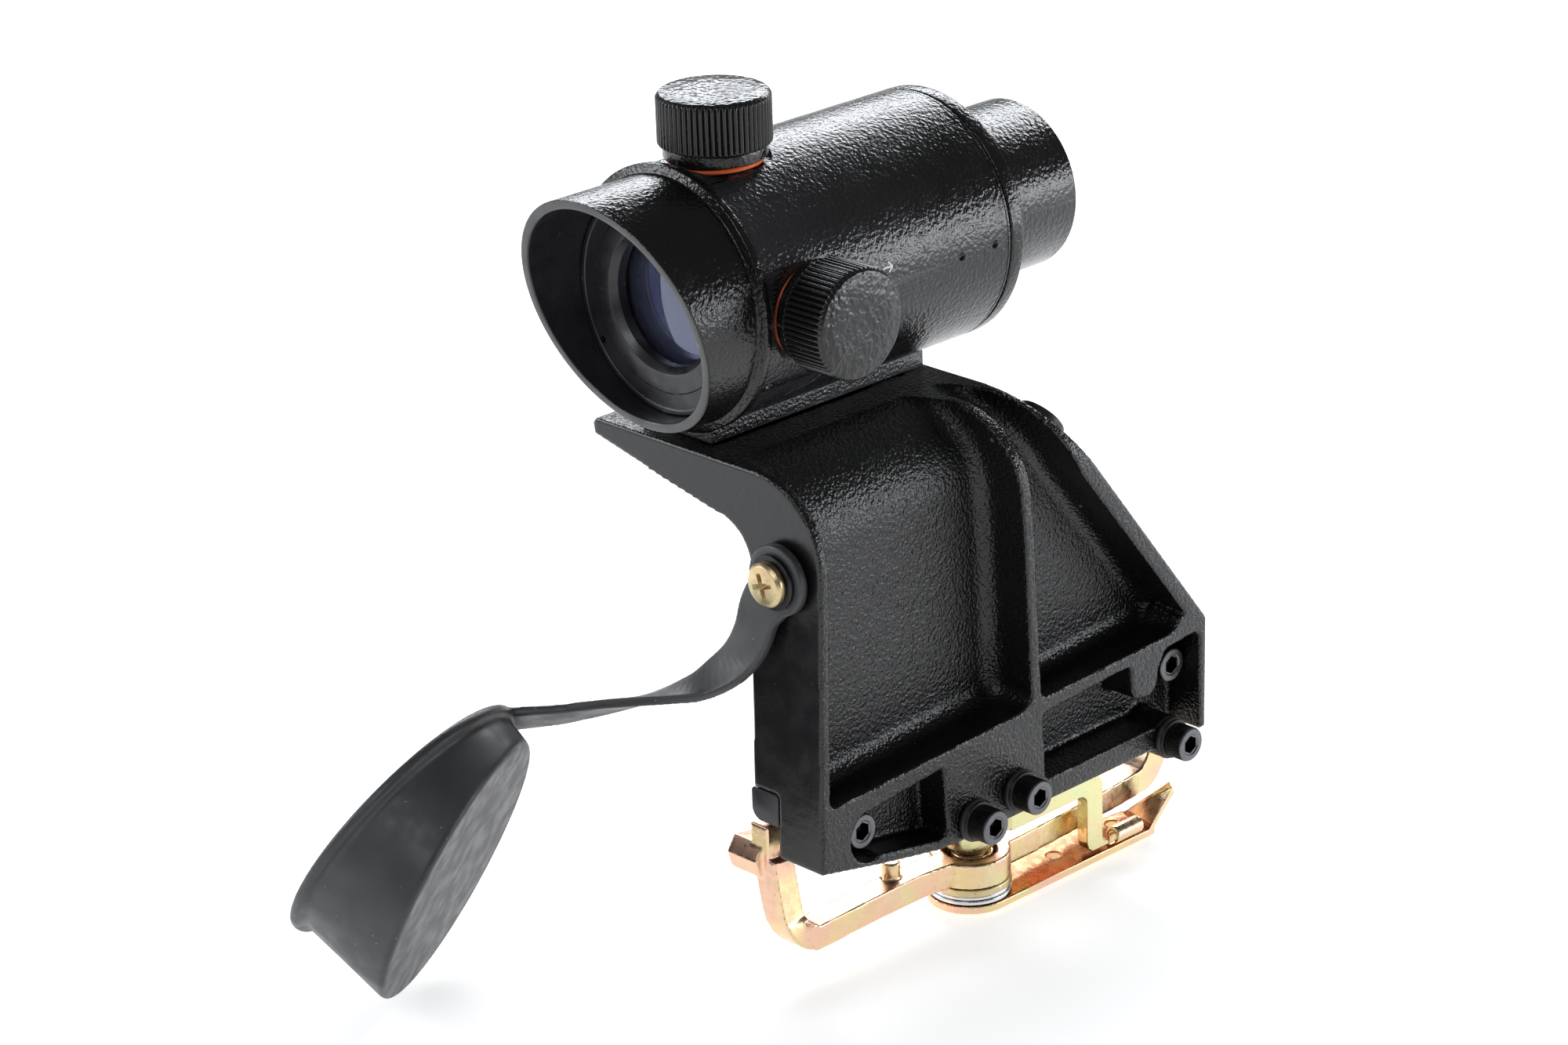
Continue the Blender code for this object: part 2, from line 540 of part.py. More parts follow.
def make_cup():
    """Rubber front cap: a round rim with a bead, and a closed end that slopes toward the strap."""
    def closed(angle, inset):
        return CUP_HEIGHT - CUP_SLOPE * math.cos(angle) - inset

    bm = bmesh.new()
    steps = 28
    rows = (
        (CUP_RADIUS - CUP_WALL, lambda a: 0.0), (CUP_BEAD, lambda a: 0.0), (CUP_BEAD, lambda a: 2.6),
        (CUP_RADIUS, lambda a: 3.4), (CUP_RADIUS - 0.6, lambda a: closed(a, 0.9)),
        (CUP_RADIUS - 1.6, lambda a: closed(a, 0.0)), (0, lambda a: CUP_HEIGHT),
        (0, lambda a: CUP_HEIGHT - CUP_WALL), (CUP_RADIUS - CUP_WALL - 0.4, lambda a: closed(a, CUP_WALL)),
    )
    rings = []
    for radius, height in rows:
        if radius:
            ring = [bm.verts.new(cup_point(radius, a, height(a))) for a in angles_round(steps)]
        else:
            ring = [bm.verts.new(cup_point(0, 0, height(0)))] * steps
        rings.append(ring)
    for low, high in zip(rings, rings[1:] + rings[:1]):
        for i in range(steps):
            j = (i + 1) % steps
            corners = list(dict.fromkeys((low[i], low[j], high[j], high[i])))
            if len(corners) > 2:
                bm.faces.new(corners)
    bmesh.ops.recalc_face_normals(bm, faces=bm.faces)
    return bm


def strap_sections():
    """Rectangles along the strap, which hangs from its eyelet, swings out and twists on edge at the cap."""
    middle = STRAP_FACE - STRAP_THICK / 2
    join = cup_point(CUP_RADIUS + 0.6, 0.0, 1.4)
    route = [Vector(p) for p in (
        (38.0, middle, -57.5), (34.0, -23.1, -62.5), (31.5, -23.9, -70.0), (27.2, -25.4, -76.7),
        (20.0, -28.0, -82.7), (13.0, -30.8, -86.4), (6.0, -34.1, -89.3), (-1.0, -37.6, -91.7),
        (-7.5, -41.0, -93.8), (-13.5, -44.2, -95.6),
    )] + [join]
    sections = []
    for i, point in enumerate(route):
        share = i / (len(route) - 1)
        along = (route[min(i + 1, len(route) - 1)] - route[max(i - 1, 0)]).normalized()
        wide = Vector((1.0, 0.0, -0.5)).lerp(CUP_ACROSS, min(1.0, share * 1.25))
        wide = (wide - along * wide.dot(along)).normalized()
        thick = along.cross(wide).normalized()
        half_wide = 6.2 - 2.0 * share
        half_thick = STRAP_THICK / 2 - 0.15 * share
        sections.append([
            point + wide * (half_wide * a) + thick * (half_thick * b)
            for a, b in ((-1, -1), (1, -1), (1, 1), (-1, 1))
        ])
    return sections


def make_cap_strap():
    """One moulded rubber piece: the eyelet under the strap screw, the strap and the front cap."""
    eyelet = turned([
        (2.8, -STRAP_FACE), (8.3, -STRAP_FACE), (8.3, -STRAP_FACE + STRAP_THICK), (2.8, -STRAP_FACE + STRAP_THICK),
    ], -Y, STRAP_SCREW, 32)
    piece = place("front_cap_strap", make_cup(), RUBBER, STRAP_SCREW)
    shape(piece, lofted(strap_sections()), "UNION")
    shape(piece, eyelet, "UNION")
    shape(piece, cylinder(2.8, 15, 30, -Y, STRAP_SCREW, 32))


clear_scene()
FRAME = bpy.data.objects.new("sight_frame", None)
FRAME.location = -SEAT * MM
bpy.context.scene.collection.objects.link(FRAME)

SLOPE = Vector((0.0, 69.8, 54.2)).normalized()
REAR_SCREW = Vector((38.5, 62.0, TOP - (62.0 - 54.0) * 69.8 / 54.2))

PAINT = material("black_paint", (0.016, 0.016, 0.018), 0.3)
SATIN = material("black_anodised", (0.02, 0.02, 0.022), 0.45, 0.3)
BLACK_STEEL = material("black_oxide_steel", (0.03, 0.03, 0.034), 0.4, 0.8)
YELLOW_ZINC = material("yellow_zinc", (0.72, 0.55, 0.30), 0.3, 1.0)
LATCH_ZINC = material("yellow_green_zinc", (0.66, 0.64, 0.36), 0.3, 1.0)
LEVER_ZINC = material("rose_zinc", (0.74, 0.47, 0.32), 0.28, 1.0)
NICKEL = material("zinc_plate", (0.70, 0.71, 0.73), 0.3, 1.0)
BRASS = material("brass", (0.71, 0.54, 0.27), 0.35, 1.0)
SPRING_STEEL = material("spring_steel", (0.45, 0.45, 0.46), 0.35, 1.0)
RUBBER = material("black_rubber", (0.03, 0.03, 0.032), 0.7)
ORANGE_RUBBER = material("orange_rubber", (0.75, 0.16, 0.05), 0.5)
GLASS = material("coated_glass", (0.16, 0.17, 0.26), 0.05)
RED_PLASTIC = material("red_lens_plastic", (0.6, 0.03, 0.02), 0.2)
BOARD_GREEN = material("circuit_board", (0.03, 0.16, 0.08), 0.5)

make_hood()
make_main_tube()
make_tube_foot()
make_front_optics()
make_rear()
make_carrier()
make_turret("elevation", Z)
make_turret("windage", X)
make_battery_side()
make_bracket()
make_foot_bar()
make_socket_screws()
make_gold_screws()
make_pivot()
make_latch_hook()
make_clamp_arm()
make_lever()
make_cap_strap()
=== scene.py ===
"""Looks of a tube sight on a side-rail clamp bracket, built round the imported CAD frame.

Shapes are modelled in millimetres in the sight's own frame: the tube's axis runs along Y at x = z = 0 and the
turrets stand at y = 0. piece() turns them into metres and puts them where the frame has the tube.
"""
import math

import bmesh
import bpy
from mathutils import Matrix, Vector


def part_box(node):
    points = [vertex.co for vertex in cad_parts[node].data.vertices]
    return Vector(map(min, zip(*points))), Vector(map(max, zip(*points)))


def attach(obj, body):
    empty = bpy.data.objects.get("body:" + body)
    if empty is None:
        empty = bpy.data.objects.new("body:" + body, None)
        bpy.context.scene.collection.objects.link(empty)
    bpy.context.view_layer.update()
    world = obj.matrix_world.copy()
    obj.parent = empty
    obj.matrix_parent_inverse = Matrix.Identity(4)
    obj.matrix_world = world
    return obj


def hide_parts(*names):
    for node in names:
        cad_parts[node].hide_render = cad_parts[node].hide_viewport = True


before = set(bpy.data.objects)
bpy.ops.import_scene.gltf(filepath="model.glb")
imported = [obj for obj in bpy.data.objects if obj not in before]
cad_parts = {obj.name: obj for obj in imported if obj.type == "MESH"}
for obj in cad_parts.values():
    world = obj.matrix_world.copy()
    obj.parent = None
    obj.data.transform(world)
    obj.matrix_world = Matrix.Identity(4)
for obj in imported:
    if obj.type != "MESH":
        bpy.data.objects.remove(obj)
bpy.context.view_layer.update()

MM = 0.001
X, Y, Z = Vector((1, 0, 0)), Vector((0, 1, 0)), Vector((0, 0, 1))
TUBE_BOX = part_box("main_tube")
CAP_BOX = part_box("elevation_turret_cap")
ORIGIN = Vector((
    (TUBE_BOX[0].x + TUBE_BOX[1].x) / 2,
    (CAP_BOX[0].y + CAP_BOX[1].y) / 2,
    (TUBE_BOX[0].z + TUBE_BOX[1].z) / 2,
))


# ---- camera, floor and light

CAMERA_EYE = Vector((694.8, -648.0, 323.7))
CAMERA_AZIMUTH = math.radians(46.24)
CAMERA_ELEVATION = math.radians(21.92)
CAMERA_ROLL = math.radians(-1.85)
CAMERA_LENS = 102.76
FLOOR_Z = -155.6
FLOOR_SIZE = 6.0
FLOOR_GLOW = 0.62
WORLD_STRENGTH = 0.12
LIGHT_TINT = (0.93, 0.96, 1.0)
LIGHT_TARGET = Vector((0.03, 0.0, -0.04))


def make_camera():
    data = bpy.data.cameras.new("camera")
    data.lens = CAMERA_LENS
    data.sensor_width = 36.0
    data.clip_start = 0.01
    camera = bpy.data.objects.new("camera", data)
    bpy.context.scene.collection.objects.link(camera)
    turn = Matrix.Rotation(CAMERA_AZIMUTH, 4, "Z") @ Matrix.Rotation(math.pi / 2 - CAMERA_ELEVATION, 4, "X")
    turn = turn @ Matrix.Rotation(CAMERA_ROLL, 4, "Z")
    camera.matrix_world = Matrix.Translation(ORIGIN + CAMERA_EYE * MM) @ turn
    bpy.context.scene.camera = camera


def softbox(name, spot, width, height, power):
    """An area light at a spot in metres from the tube's centre, turned to the middle of the object."""
    data = bpy.data.lights.new(name, "AREA")
    data.shape = "RECTANGLE"
    data.size = width
    data.size_y = height
    data.energy = power
    data.color = LIGHT_TINT
    light = bpy.data.objects.new(name, data)
    bpy.context.scene.collection.objects.link(light)
    light.location = ORIGIN + Vector(spot)
    aim = ORIGIN + LIGHT_TARGET - light.location
    light.rotation_euler = aim.to_track_quat("-Z", "Y").to_euler()
    light.visible_camera = False


def make_studio():
    scene = bpy.context.scene
    scene.view_settings.view_transform = "Standard"
    world = bpy.data.worlds.new("studio")
    scene.world = world
    world.use_nodes = True
    back = world.node_tree.nodes["Background"]
    back.inputs["Color"].default_value = (1.0, 1.0, 1.0, 1.0)
    back.inputs["Strength"].default_value = WORLD_STRENGTH
    softbox("back", (-0.62, 0.80, 0.52), 1.3, 0.42, 13.0)
    softbox("right", (0.85, 0.85, 0.03), 1.0, 0.26, 5.5)
    softbox("left", (-0.80, -0.62, 0.30), 0.6, 0.5, 5.0)
    softbox("front", (0.35, -1.0, 0.75), 0.7, 0.5, 4.0)

    floor_mesh = bmesh.new()
    bmesh.ops.create_grid(floor_mesh, x_segments=4, y_segments=4, size=FLOOR_SIZE)
    mesh = bpy.data.meshes.new("floor")
    floor_mesh.to_mesh(mesh)
    floor_mesh.free()
    floor = bpy.data.objects.new("floor", mesh)
    floor.location = (0.0, 0.0, ORIGIN.z + FLOOR_Z * MM)
    scene.collection.objects.link(floor)
    paper = Surface("floor_paper", (0.80, 0.80, 0.80), 0.7, Emission_Color=(1.0, 1.0, 1.0, 1.0),
                    Emission_Strength=FLOOR_GLOW)
    mesh.materials.append(paper.material)


# ---- materials

class Surface:
    """A Principled material whose colour, roughness and bump are built from procedural nodes."""

    def __init__(self, name, colour, roughness, metallic=0.0, **sockets):
        self.material = bpy.data.materials.new(name)
        self.material.use_nodes = True
        self.nodes = self.material.node_tree.nodes
        self.links = self.material.node_tree.links
        self.shader = self.nodes["Principled BSDF"]
        self.colour = (*colour, 1.0)
        self.shader.inputs["Base Color"].default_value = self.colour
        self.shader.inputs["Roughness"].default_value = roughness
        self.shader.inputs["Metallic"].default_value = metallic
        for socket, value in sockets.items():
            self.shader.inputs[socket.replace("_", " ")].default_value = value
        self.coordinates = self.nodes.new("ShaderNodeTexCoord").outputs["Object"]
        self.colour_end = None
        self.normal_end = None

    def stretched(self, scale):
        mapping = self.nodes.new("ShaderNodeMapping")
        mapping.inputs["Scale"].default_value = scale
        self.links.new(self.coordinates, mapping.inputs["Vector"])
        return mapping.outputs["Vector"]

    def noise(self, size, detail=2.0, stretch=None):
        """Noise whose features are about size millimetres across."""
        node = self.nodes.new("ShaderNodeTexNoise")
        node.inputs["Scale"].default_value = 1.0 / (size * MM)
        node.inputs["Detail"].default_value = detail
        self.links.new(self.stretched(stretch) if stretch else self.coordinates, node.inputs["Vector"])
        return node.outputs["Fac"]

    def specks(self, spacing):
        """Distance to scattered points about spacing millimetres apart."""
        node = self.nodes.new("ShaderNodeTexVoronoi")
        node.inputs["Scale"].default_value = 1.0 / (spacing * MM)
        self.links.new(self.coordinates, node.inputs["Vector"])
        return node.outputs["Distance"]

    def edges(self):
        return self.nodes.new("ShaderNodeNewGeometry").outputs["Pointiness"]

    def ramp(self, value, low, high, out_low=0.0, out_high=1.0):
        node = self.nodes.new("ShaderNodeMapRange")
        node.interpolation_type = "SMOOTHSTEP"
        limits = {"From Min": low, "From Max": high, "To Min": out_low, "To Max": out_high}
        for socket, number in limits.items():
            node.inputs[socket].default_value = number
        self.links.new(value, node.inputs["Value"])
        return node.outputs["Result"]

    def tint(self, share, colour):
        """Mix another colour in where share is high."""
        node = self.nodes.new("ShaderNodeMix")
        node.data_type = "RGBA"
        if self.colour_end:
            self.links.new(self.colour_end, node.inputs[6])
        else:
            node.inputs[6].default_value = self.colour
        node.inputs[7].default_value = (*colour, 1.0)
        self.links.new(share, node.inputs[0])
        self.colour_end = node.outputs[2]
        self.links.new(self.colour_end, self.shader.inputs["Base Color"])
        return self

    def rough(self, value):
        self.links.new(value, self.shader.inputs["Roughness"])
        return self

    def bump(self, height, depth):
        """Raise the surface by up to depth millimetres where height is high."""
        node = self.nodes.new("ShaderNodeBump")
        node.inputs["Strength"].default_value = 1.0
        node.inputs["Distance"].default_value = depth * MM
        self.links.new(height, node.inputs["Height"])
        if self.normal_end:
            self.links.new(self.normal_end, node.inputs["Normal"])
        self.normal_end = node.outputs["Normal"]
        self.links.new(self.normal_end, self.shader.inputs["Normal"])
        return self


def paint(name, peel_size, peel_depth, grain_depth, roughness, edge_wear_and_highlight=0.5):
    """Black enamel with orange peel, fine grain, edges lightened partly as rubbed paint and partly as a
    painted edge highlight, and pale specks that are partly dust and partly painted sparkle.
    """
    made = Surface(name, (0.0045, 0.0045, 0.005), roughness, Specular_IOR_Level=0.5)
    made.tint(made.ramp(made.noise(26.0, 3.0), 0.35, 0.7, 0.0, 0.5), (0.008, 0.008, 0.009))
    # Lighter edges from pointiness: partly rubbed paint, partly a painted edge highlight.
    made.tint(made.ramp(made.edges(), 0.53, 0.60, 0.0, edge_wear_and_highlight), (0.075, 0.076, 0.080))
    # Pale specks: partly dust, partly painted sparkle highlights.
    made.tint(made.ramp(made.specks(2.6), 0.045, 0.015, 0.0, 0.8), (0.30, 0.30, 0.30))
    made.rough(made.ramp(made.noise(7.0, 4.0), 0.3, 0.75, roughness - 0.04, roughness + 0.07))
    made.bump(made.noise(peel_size, 1.0), peel_depth)
    made.bump(made.noise(peel_size * 0.32, 2.0), grain_depth)
    return made.material


def satin_black(name, colour, roughness):
    """Black anodised metal with a faint machining grain and light scratches."""
    made = Surface(name, colour, roughness, Specular_IOR_Level=0.55)
    lighter = tuple(c * 2.2 for c in colour)
    made.tint(made.ramp(made.noise(9.0, 4.0), 0.4, 0.75, 0.0, 0.4), lighter)
    made.tint(made.ramp(made.noise(3.0, 6.0, (0.25, 3.0, 1.2)), 0.66, 0.74, 0.0, 0.35), (0.10, 0.10, 0.105))
    # Lighter edges from pointiness: partly worn anodising, partly a painted edge highlight.
    made.tint(made.ramp(made.edges(), 0.54, 0.62, 0.0, 0.55), (0.16, 0.16, 0.165))
    made.rough(made.ramp(made.noise(4.0, 3.0), 0.3, 0.7, roughness - 0.06, roughness + 0.10))
    made.bump(made.noise(0.35, 2.0), 0.012)
    return made.material


def zinc(name, base, pink, green, roughness=0.26):
    """Passivated zinc plate whose colour drifts between two tints."""
    made = Surface(name, base, roughness, 1.0)
    made.tint(made.ramp(made.noise(9.0, 3.0), 0.40, 0.66, 0.0, 0.85), pink)
    made.tint(made.ramp(made.noise(13.0, 2.5, (1.3, 0.8, 1.1)), 0.52, 0.72, 0.0, 0.8), green)
    made.tint(made.ramp(made.noise(1.1, 5.0), 0.62, 0.78, 0.0, 0.55), tuple(c * 0.45 for c in base))
    # Pale edges from pointiness: partly worn plating, partly a painted edge highlight.
    made.tint(made.ramp(made.edges(), 0.53, 0.60, 0.0, 0.6), (0.95, 0.90, 0.78))
    made.rough(made.ramp(made.noise(2.2, 4.0), 0.3, 0.75, roughness - 0.08, roughness + 0.16))
    made.bump(made.noise(1.6, 3.0), 0.05)
    made.bump(made.noise(0.4, 2.0), 0.01)
    return made.material


def plated(name, colour, roughness):
    """Bright metal with fine brushing and small stains."""
    made = Surface(name, colour, roughness, 1.0)
    made.tint(made.ramp(made.noise(4.0, 4.0), 0.45, 0.75, 0.0, 0.35), tuple(c * 0.62 for c in colour))
    made.rough(made.ramp(made.noise(1.2, 3.0), 0.3, 0.7, roughness - 0.06, roughness + 0.12))
    made.bump(made.noise(0.5, 2.0), 0.012)
    return made.material


def rubber(name, colour, roughness, dust):
    """Moulded rubber with a dusty bloom and pale specks."""
    made = Surface(name, colour, roughness, Specular_IOR_Level=0.42)
    made.tint(made.ramp(made.noise(22.0, 3.0), 0.38, 0.72, 0.0, 0.6), tuple(c * 1.7 for c in colour))
    made.tint(made.ramp(made.specks(4.2), 0.055, 0.02, 0.0, dust), (0.32, 0.32, 0.31))
    made.rough(made.ramp(made.noise(5.0, 3.0), 0.3, 0.7, roughness - 0.08, roughness + 0.08))
    made.bump(made.noise(0.5, 3.0), 0.018)
    return made.material


def glass(name, tint, coat):
    """Clear glass whose coating tints the reflections, with a small blue-grey diffuse share that paints in
    the pale reflections of the lens.
    """
    # The blue-grey base colour on the part-diffuse glass, varied by the noise below, is a painted reflection
    # that brightens the lens.
    made = Surface(name, tint, 0.02, Transmission_Weight=0.92, IOR=1.52, Coat_Weight=0.8, Coat_Roughness=0.02,
                   Coat_Tint=(*coat, 1.0))
    made.tint(made.ramp(made.noise(30.0, 2.0), 0.3, 0.7, 0.0, 0.4), tuple(c * 0.86 for c in tint))
    made.rough(made.ramp(made.noise(12.0, 3.0), 0.4, 0.7, 0.01, 0.05))
    return made.material


def plain(name, colour, roughness):
    """Small hidden or simple part with grain and a little colour drift."""
    made = Surface(name, colour, roughness)
    made.tint(made.ramp(made.noise(3.0, 3.0), 0.4, 0.7, 0.0, 0.5), tuple(c * 0.7 for c in colour))
    made.rough(made.ramp(made.noise(1.5, 3.0), 0.3, 0.7, roughness - 0.06, roughness + 0.1))
    made.bump(made.noise(0.4, 2.0), 0.01)
    return made.material


# ---- modelling helpers

def angles(count):
    return [math.tau * i / count for i in range(count)]


def arc(centre, radius, start, end, count):
    """Points on a circle between two angles in degrees."""
    turns = [math.radians(start + (end - start) * i / count) for i in range(count + 1)]
    return [(centre[0] + radius * math.cos(a), centre[1] + radius * math.sin(a)) for a in turns]


def rounded(outline, radius, count=3):
    """The closed outline with each corner rounded, apart from points on the turning axis."""
    made = []
    for i, point in enumerate(outline):
        here, before, after = Vector(point), Vector(outline[i - 1]), Vector(outline[(i + 1) % len(outline)])
        to_before, to_after = before - here, after - here
        bend = to_before.angle(to_after, math.pi)
        if here.x == 0 or bend > math.radians(172):
            made.append(tuple(here))
            continue
        reach = min(radius / math.tan(bend / 2), 0.45 * to_before.length, 0.45 * to_after.length)
        start, end = here + to_before.normalized() * reach, here + to_after.normalized() * reach
        for step in range(count + 1):
            t = step / count
            made.append(tuple(start * (1 - t) ** 2 + here * (2 * t * (1 - t)) + end * t ** 2))
    return made


def grid_solid(rows, closed=True):
    """Faces between rows of equal length, each a closed ring. A single point stands for a whole row."""
    bm = bmesh.new()
    steps = max(len(row) for row in rows)
    rings = []
    for row in rows:
        made = [bm.verts.new(point) for point in row]
        rings.append(made if len(made) > 1 else made * steps)
    pairs = list(zip(rings, rings[1:]))
    if closed:
        pairs.append((rings[-1], rings[0]))
    for low, high in pairs:
        for i in range(steps):
            j = (i + 1) % steps
            corners = list(dict.fromkeys((low[i], low[j], high[j], high[i])))
            if len(corners) > 2:
                bm.faces.new(corners)
    if not closed:
        for ring in (rings[0], rings[-1]):
            if ring[0] != ring[1]:
                bm.faces.new(ring)
    bmesh.ops.recalc_face_normals(bm, faces=bm.faces)
    return bm


def turned(profile, direction=Y, centre=(0.0, 0.0, 0.0), steps=144, ridges=None):
    """Turn a closed (radius, height) profile. ridges(angle, radius) may change the radius."""
    turn = Z.rotation_difference(direction).to_matrix()
    rows = []
    for radius, height in profile:
        count = steps if radius else 1
        row = []
        for angle in angles(count):
            r = ridges(angle, radius) if ridges and radius else radius
            row.append(Vector(centre) + turn @ Vector((r * math.cos(angle), r * math.sin(angle), height)))
        rows.append(row)
    return grid_solid(rows)


def extruded(outline, plane, low, high):
    """Extrude an outline in plane "xz", "yz" or "xy" along the remaining axis from low to high."""
    place_point = {
        "xz": lambda a, b, level: (a, level, b),
        "yz": lambda a, b, level: (level, a, b),
        "xy": lambda a, b, level: (a, b, level),
    }[plane]
    rows = [[place_point(a, b, level) for a, b in outline] for level in (low, high)]
    return grid_solid(rows, closed=False)


def cylinder(radius, low, high, direction, centre, steps=48):
    return turned([(0, low), (radius, low), (radius, high), (0, high)], direction, centre, steps)


def solid(base, *tools, voxel=0.0, smooth=0, bevel=0.0):
    """Cut and add tools, given as (operation, bmesh), then remesh, bevel and smooth. Returns a bmesh."""
    made = []
    for bm in (base, *[tool for _, tool in tools]):
        mesh = bpy.data.meshes.new("work")
        bm.to_mesh(mesh)
        bm.free()
        made.append(bpy.data.objects.new("work", mesh))
        bpy.context.scene.collection.objects.link(made[-1])
    body = made[0]
    for (operation, _), tool in zip(tools, made[1:]):
        boolean = body.modifiers.new("boolean", "BOOLEAN")
        boolean.operation = operation
        boolean.object = tool
    if voxel:
        remesh = body.modifiers.new("remesh", "REMESH")
        remesh.mode = "VOXEL"
        remesh.voxel_size = voxel
    if bevel:
        rim = body.modifiers.new("bevel", "BEVEL")
        rim.width = bevel
        rim.segments = 3
        rim.limit_method = "ANGLE"
        rim.angle_limit = math.radians(35)
    if smooth:
        relax = body.modifiers.new("smooth", "SMOOTH")
        relax.factor = 0.5
        relax.iterations = smooth
    bpy.context.view_layer.update()
    depsgraph = bpy.context.evaluated_depsgraph_get()
    result = bpy.data.meshes.new_from_object(body.evaluated_get(depsgraph))
    for obj in made:
        bpy.data.objects.remove(obj)
    bm = bmesh.new()
    bm.from_mesh(result)
    bpy.data.meshes.remove(result)
    return bm


def piece(name, bm, body, slot, materials, nodes=(), pick=None, sharp=38):
    """Place a shape in the row frame, give it its materials, and let it ride. pick(centre, normal) gives a
    face's material number from the face in the sight's frame."""
    if pick:
        for face in bm.faces:
            face.material_index = pick(face.calc_center_median(), face.normal)
    bm.transform(Matrix.Translation(ORIGIN) @ Matrix.Scale(MM, 4))
    mesh = bpy.data.meshes.new(name)
    bm.to_mesh(mesh)
    bm.free()
    for material in materials if isinstance(materials, tuple) else (materials,):
        mesh.materials.append(material)
    mesh.shade_smooth()
    mesh.set_sharp_from_angle(angle=math.radians(sharp))
    obj = bpy.data.objects.new(name, mesh)
    bpy.context.scene.collection.objects.link(obj)
    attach(obj, body)
    if nodes:
        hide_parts(*nodes)
    return obj


make_camera()
make_studio()

TUBE_PAINT = paint("tube_paint", 1.05, 0.22, 0.04, 0.17)
CAP_PAINT = paint("cap_paint", 1.6, 0.44, 0.02, 0.24, 0.7)
TURRET_SIDE = paint("turret_side", 0.9, 0.05, 0.02, 0.22, 1.0)
CAST_PAINT = paint("cast_paint", 0.8, 0.36, 0.06, 0.17, 1.0)
RIM_SATIN = satin_black("rim_satin", (0.030, 0.030, 0.030), 0.33)
INNER_SATIN = satin_black("inner_satin", (0.012, 0.012, 0.014), 0.30)
FACE_PAINT = paint("face_paint", 2.4, 0.05, 0.02, 0.24, 0.9)
BAR_SATIN = satin_black("bar_satin", (0.020, 0.020, 0.022), 0.36)
OXIDE = plated("black_oxide", (0.045, 0.045, 0.048), 0.38)
OXIDE_FACE = plated("black_oxide_face", (0.17, 0.17, 0.18), 0.34)
ARM_ZINC = zinc("arm_zinc", (0.86, 0.66, 0.36), (0.90, 0.56, 0.42), (0.72, 0.74, 0.40))
PINK_ZINC = zinc("pink_zinc", (0.66, 0.44, 0.31), (0.68, 0.38, 0.29), (0.58, 0.50, 0.30), 0.34)
LATCH_ZINC = zinc("latch_zinc", (0.78, 0.74, 0.40), (0.84, 0.72, 0.42), (0.66, 0.76, 0.42), 0.24)
LEVER_ZINC = zinc("lever_zinc", (0.42, 0.20, 0.09), (0.46, 0.15, 0.07), (0.40, 0.30, 0.12), 0.24)
GOLD_SCREW = zinc("gold_screw", (0.66, 0.54, 0.30), (0.68, 0.50, 0.30), (0.60, 0.57, 0.34), 0.34)
WHITE_ZINC = plated("white_zinc", (0.80, 0.81, 0.84), 0.22)
BRASS = plated("brass", (0.72, 0.54, 0.26), 0.3)
SPRING = plated("spring_steel", (0.45, 0.45, 0.46), 0.32)
CAP_RUBBER = rubber("cap_rubber", (0.040, 0.041, 0.044), 0.44, 0.7)
WASHER_RUBBER = rubber("washer_rubber", (0.012, 0.012, 0.013), 0.42, 0.15)
SEAL_RUBBER = rubber("seal_rubber", (0.74, 0.13, 0.03), 0.45, 0.1)
LENS_GLASS = glass("lens_glass", (0.52, 0.55, 0.66), (0.72, 0.76, 1.0))
MARK_WHITE = plain("mark_white", (0.72, 0.72, 0.72), 0.5)
LED_RED = plain("led_red", (0.55, 0.02, 0.02), 0.2)
BOARD = plain("circuit_board", (0.02, 0.14, 0.06), 0.45)


# ---- sight tube

TUBE_RADIUS = 30.0
TUBE_BORE = 27.0
TUBE_FRONT = -13.1
TUBE_BACK = 63.4
HOOD_RIM = -32.3
HOOD_SLANT = 0.3
HOOD_RADIUS = 28.6
HOOD_BORE = 26.3
BEAD_RADIUS = 30.8
SPIGOT_RADIUS = TUBE_BORE - 0.3
EYEPIECE_RADIUS = 20.4
EYEPIECE_BACK = 96.3
THREAD_RADIUS = 10.0
FLANGE_RADIUS = 11.8
SPOT_RADIUS = 12.6
SPOT_FACE = 27.9
SEAT_BOTTOM = 24.5
FLANGE_BOTTOM = 29.9
FLANGE_TOP = 32.6
SPINDLE_RADIUS = 8.6
SPINDLE_TOP = 38.0
SCREW_BORE = 3.1
SEAL_HEIGHT = 28.3
SEAL_RADIUS = 10.3
SEAL_THICK = 0.6
KNOB_RADIUS = 12.95
KNOB_BOTTOM = 32.9
KNOB_TOP = 44.6
FOOT_HALF = 11.3
DIMPLES = ((30.0, 47.1, 0.4), (30.0, 58.0, 0.6), (25.4, -10.1, -15.9))


def make_hood():
    profile = rounded([
        (HOOD_BORE, HOOD_RIM), (HOOD_RADIUS, HOOD_RIM), (HOOD_RADIUS, -15.9), (BEAD_RADIUS, -15.4),
        (BEAD_RADIUS, -13.4), (SPIGOT_RADIUS, -13.4), (SPIGOT_RADIUS, -11.7), (23.6, -11.7), (23.6, -7.5),
        (19.0, -7.5), (19.0, -9.6), (21.3, -9.6), (21.3, -14.2), (HOOD_BORE, -14.2),
    ], 0.45)
    bm = turned(profile, steps=192)
    for vert in bm.verts:
        if vert.co.y < HOOD_RIM + 1.0:
            vert.co.y -= HOOD_SLANT * vert.co.z
    rim_normal = Vector((0.0, -1.0, -HOOD_SLANT)).normalized()

    def pick(centre, normal):
        if centre.y < HOOD_RIM + 12 and normal.dot(rim_normal) > 0.8:
            return 1
        return 2 if math.hypot(centre.x, centre.z) < HOOD_BORE + 0.4 else 0

    piece("hood_shell", bm, "sight", "black_paint", (TUBE_PAINT, RIM_SATIN, INNER_SATIN), ["hood"], pick)


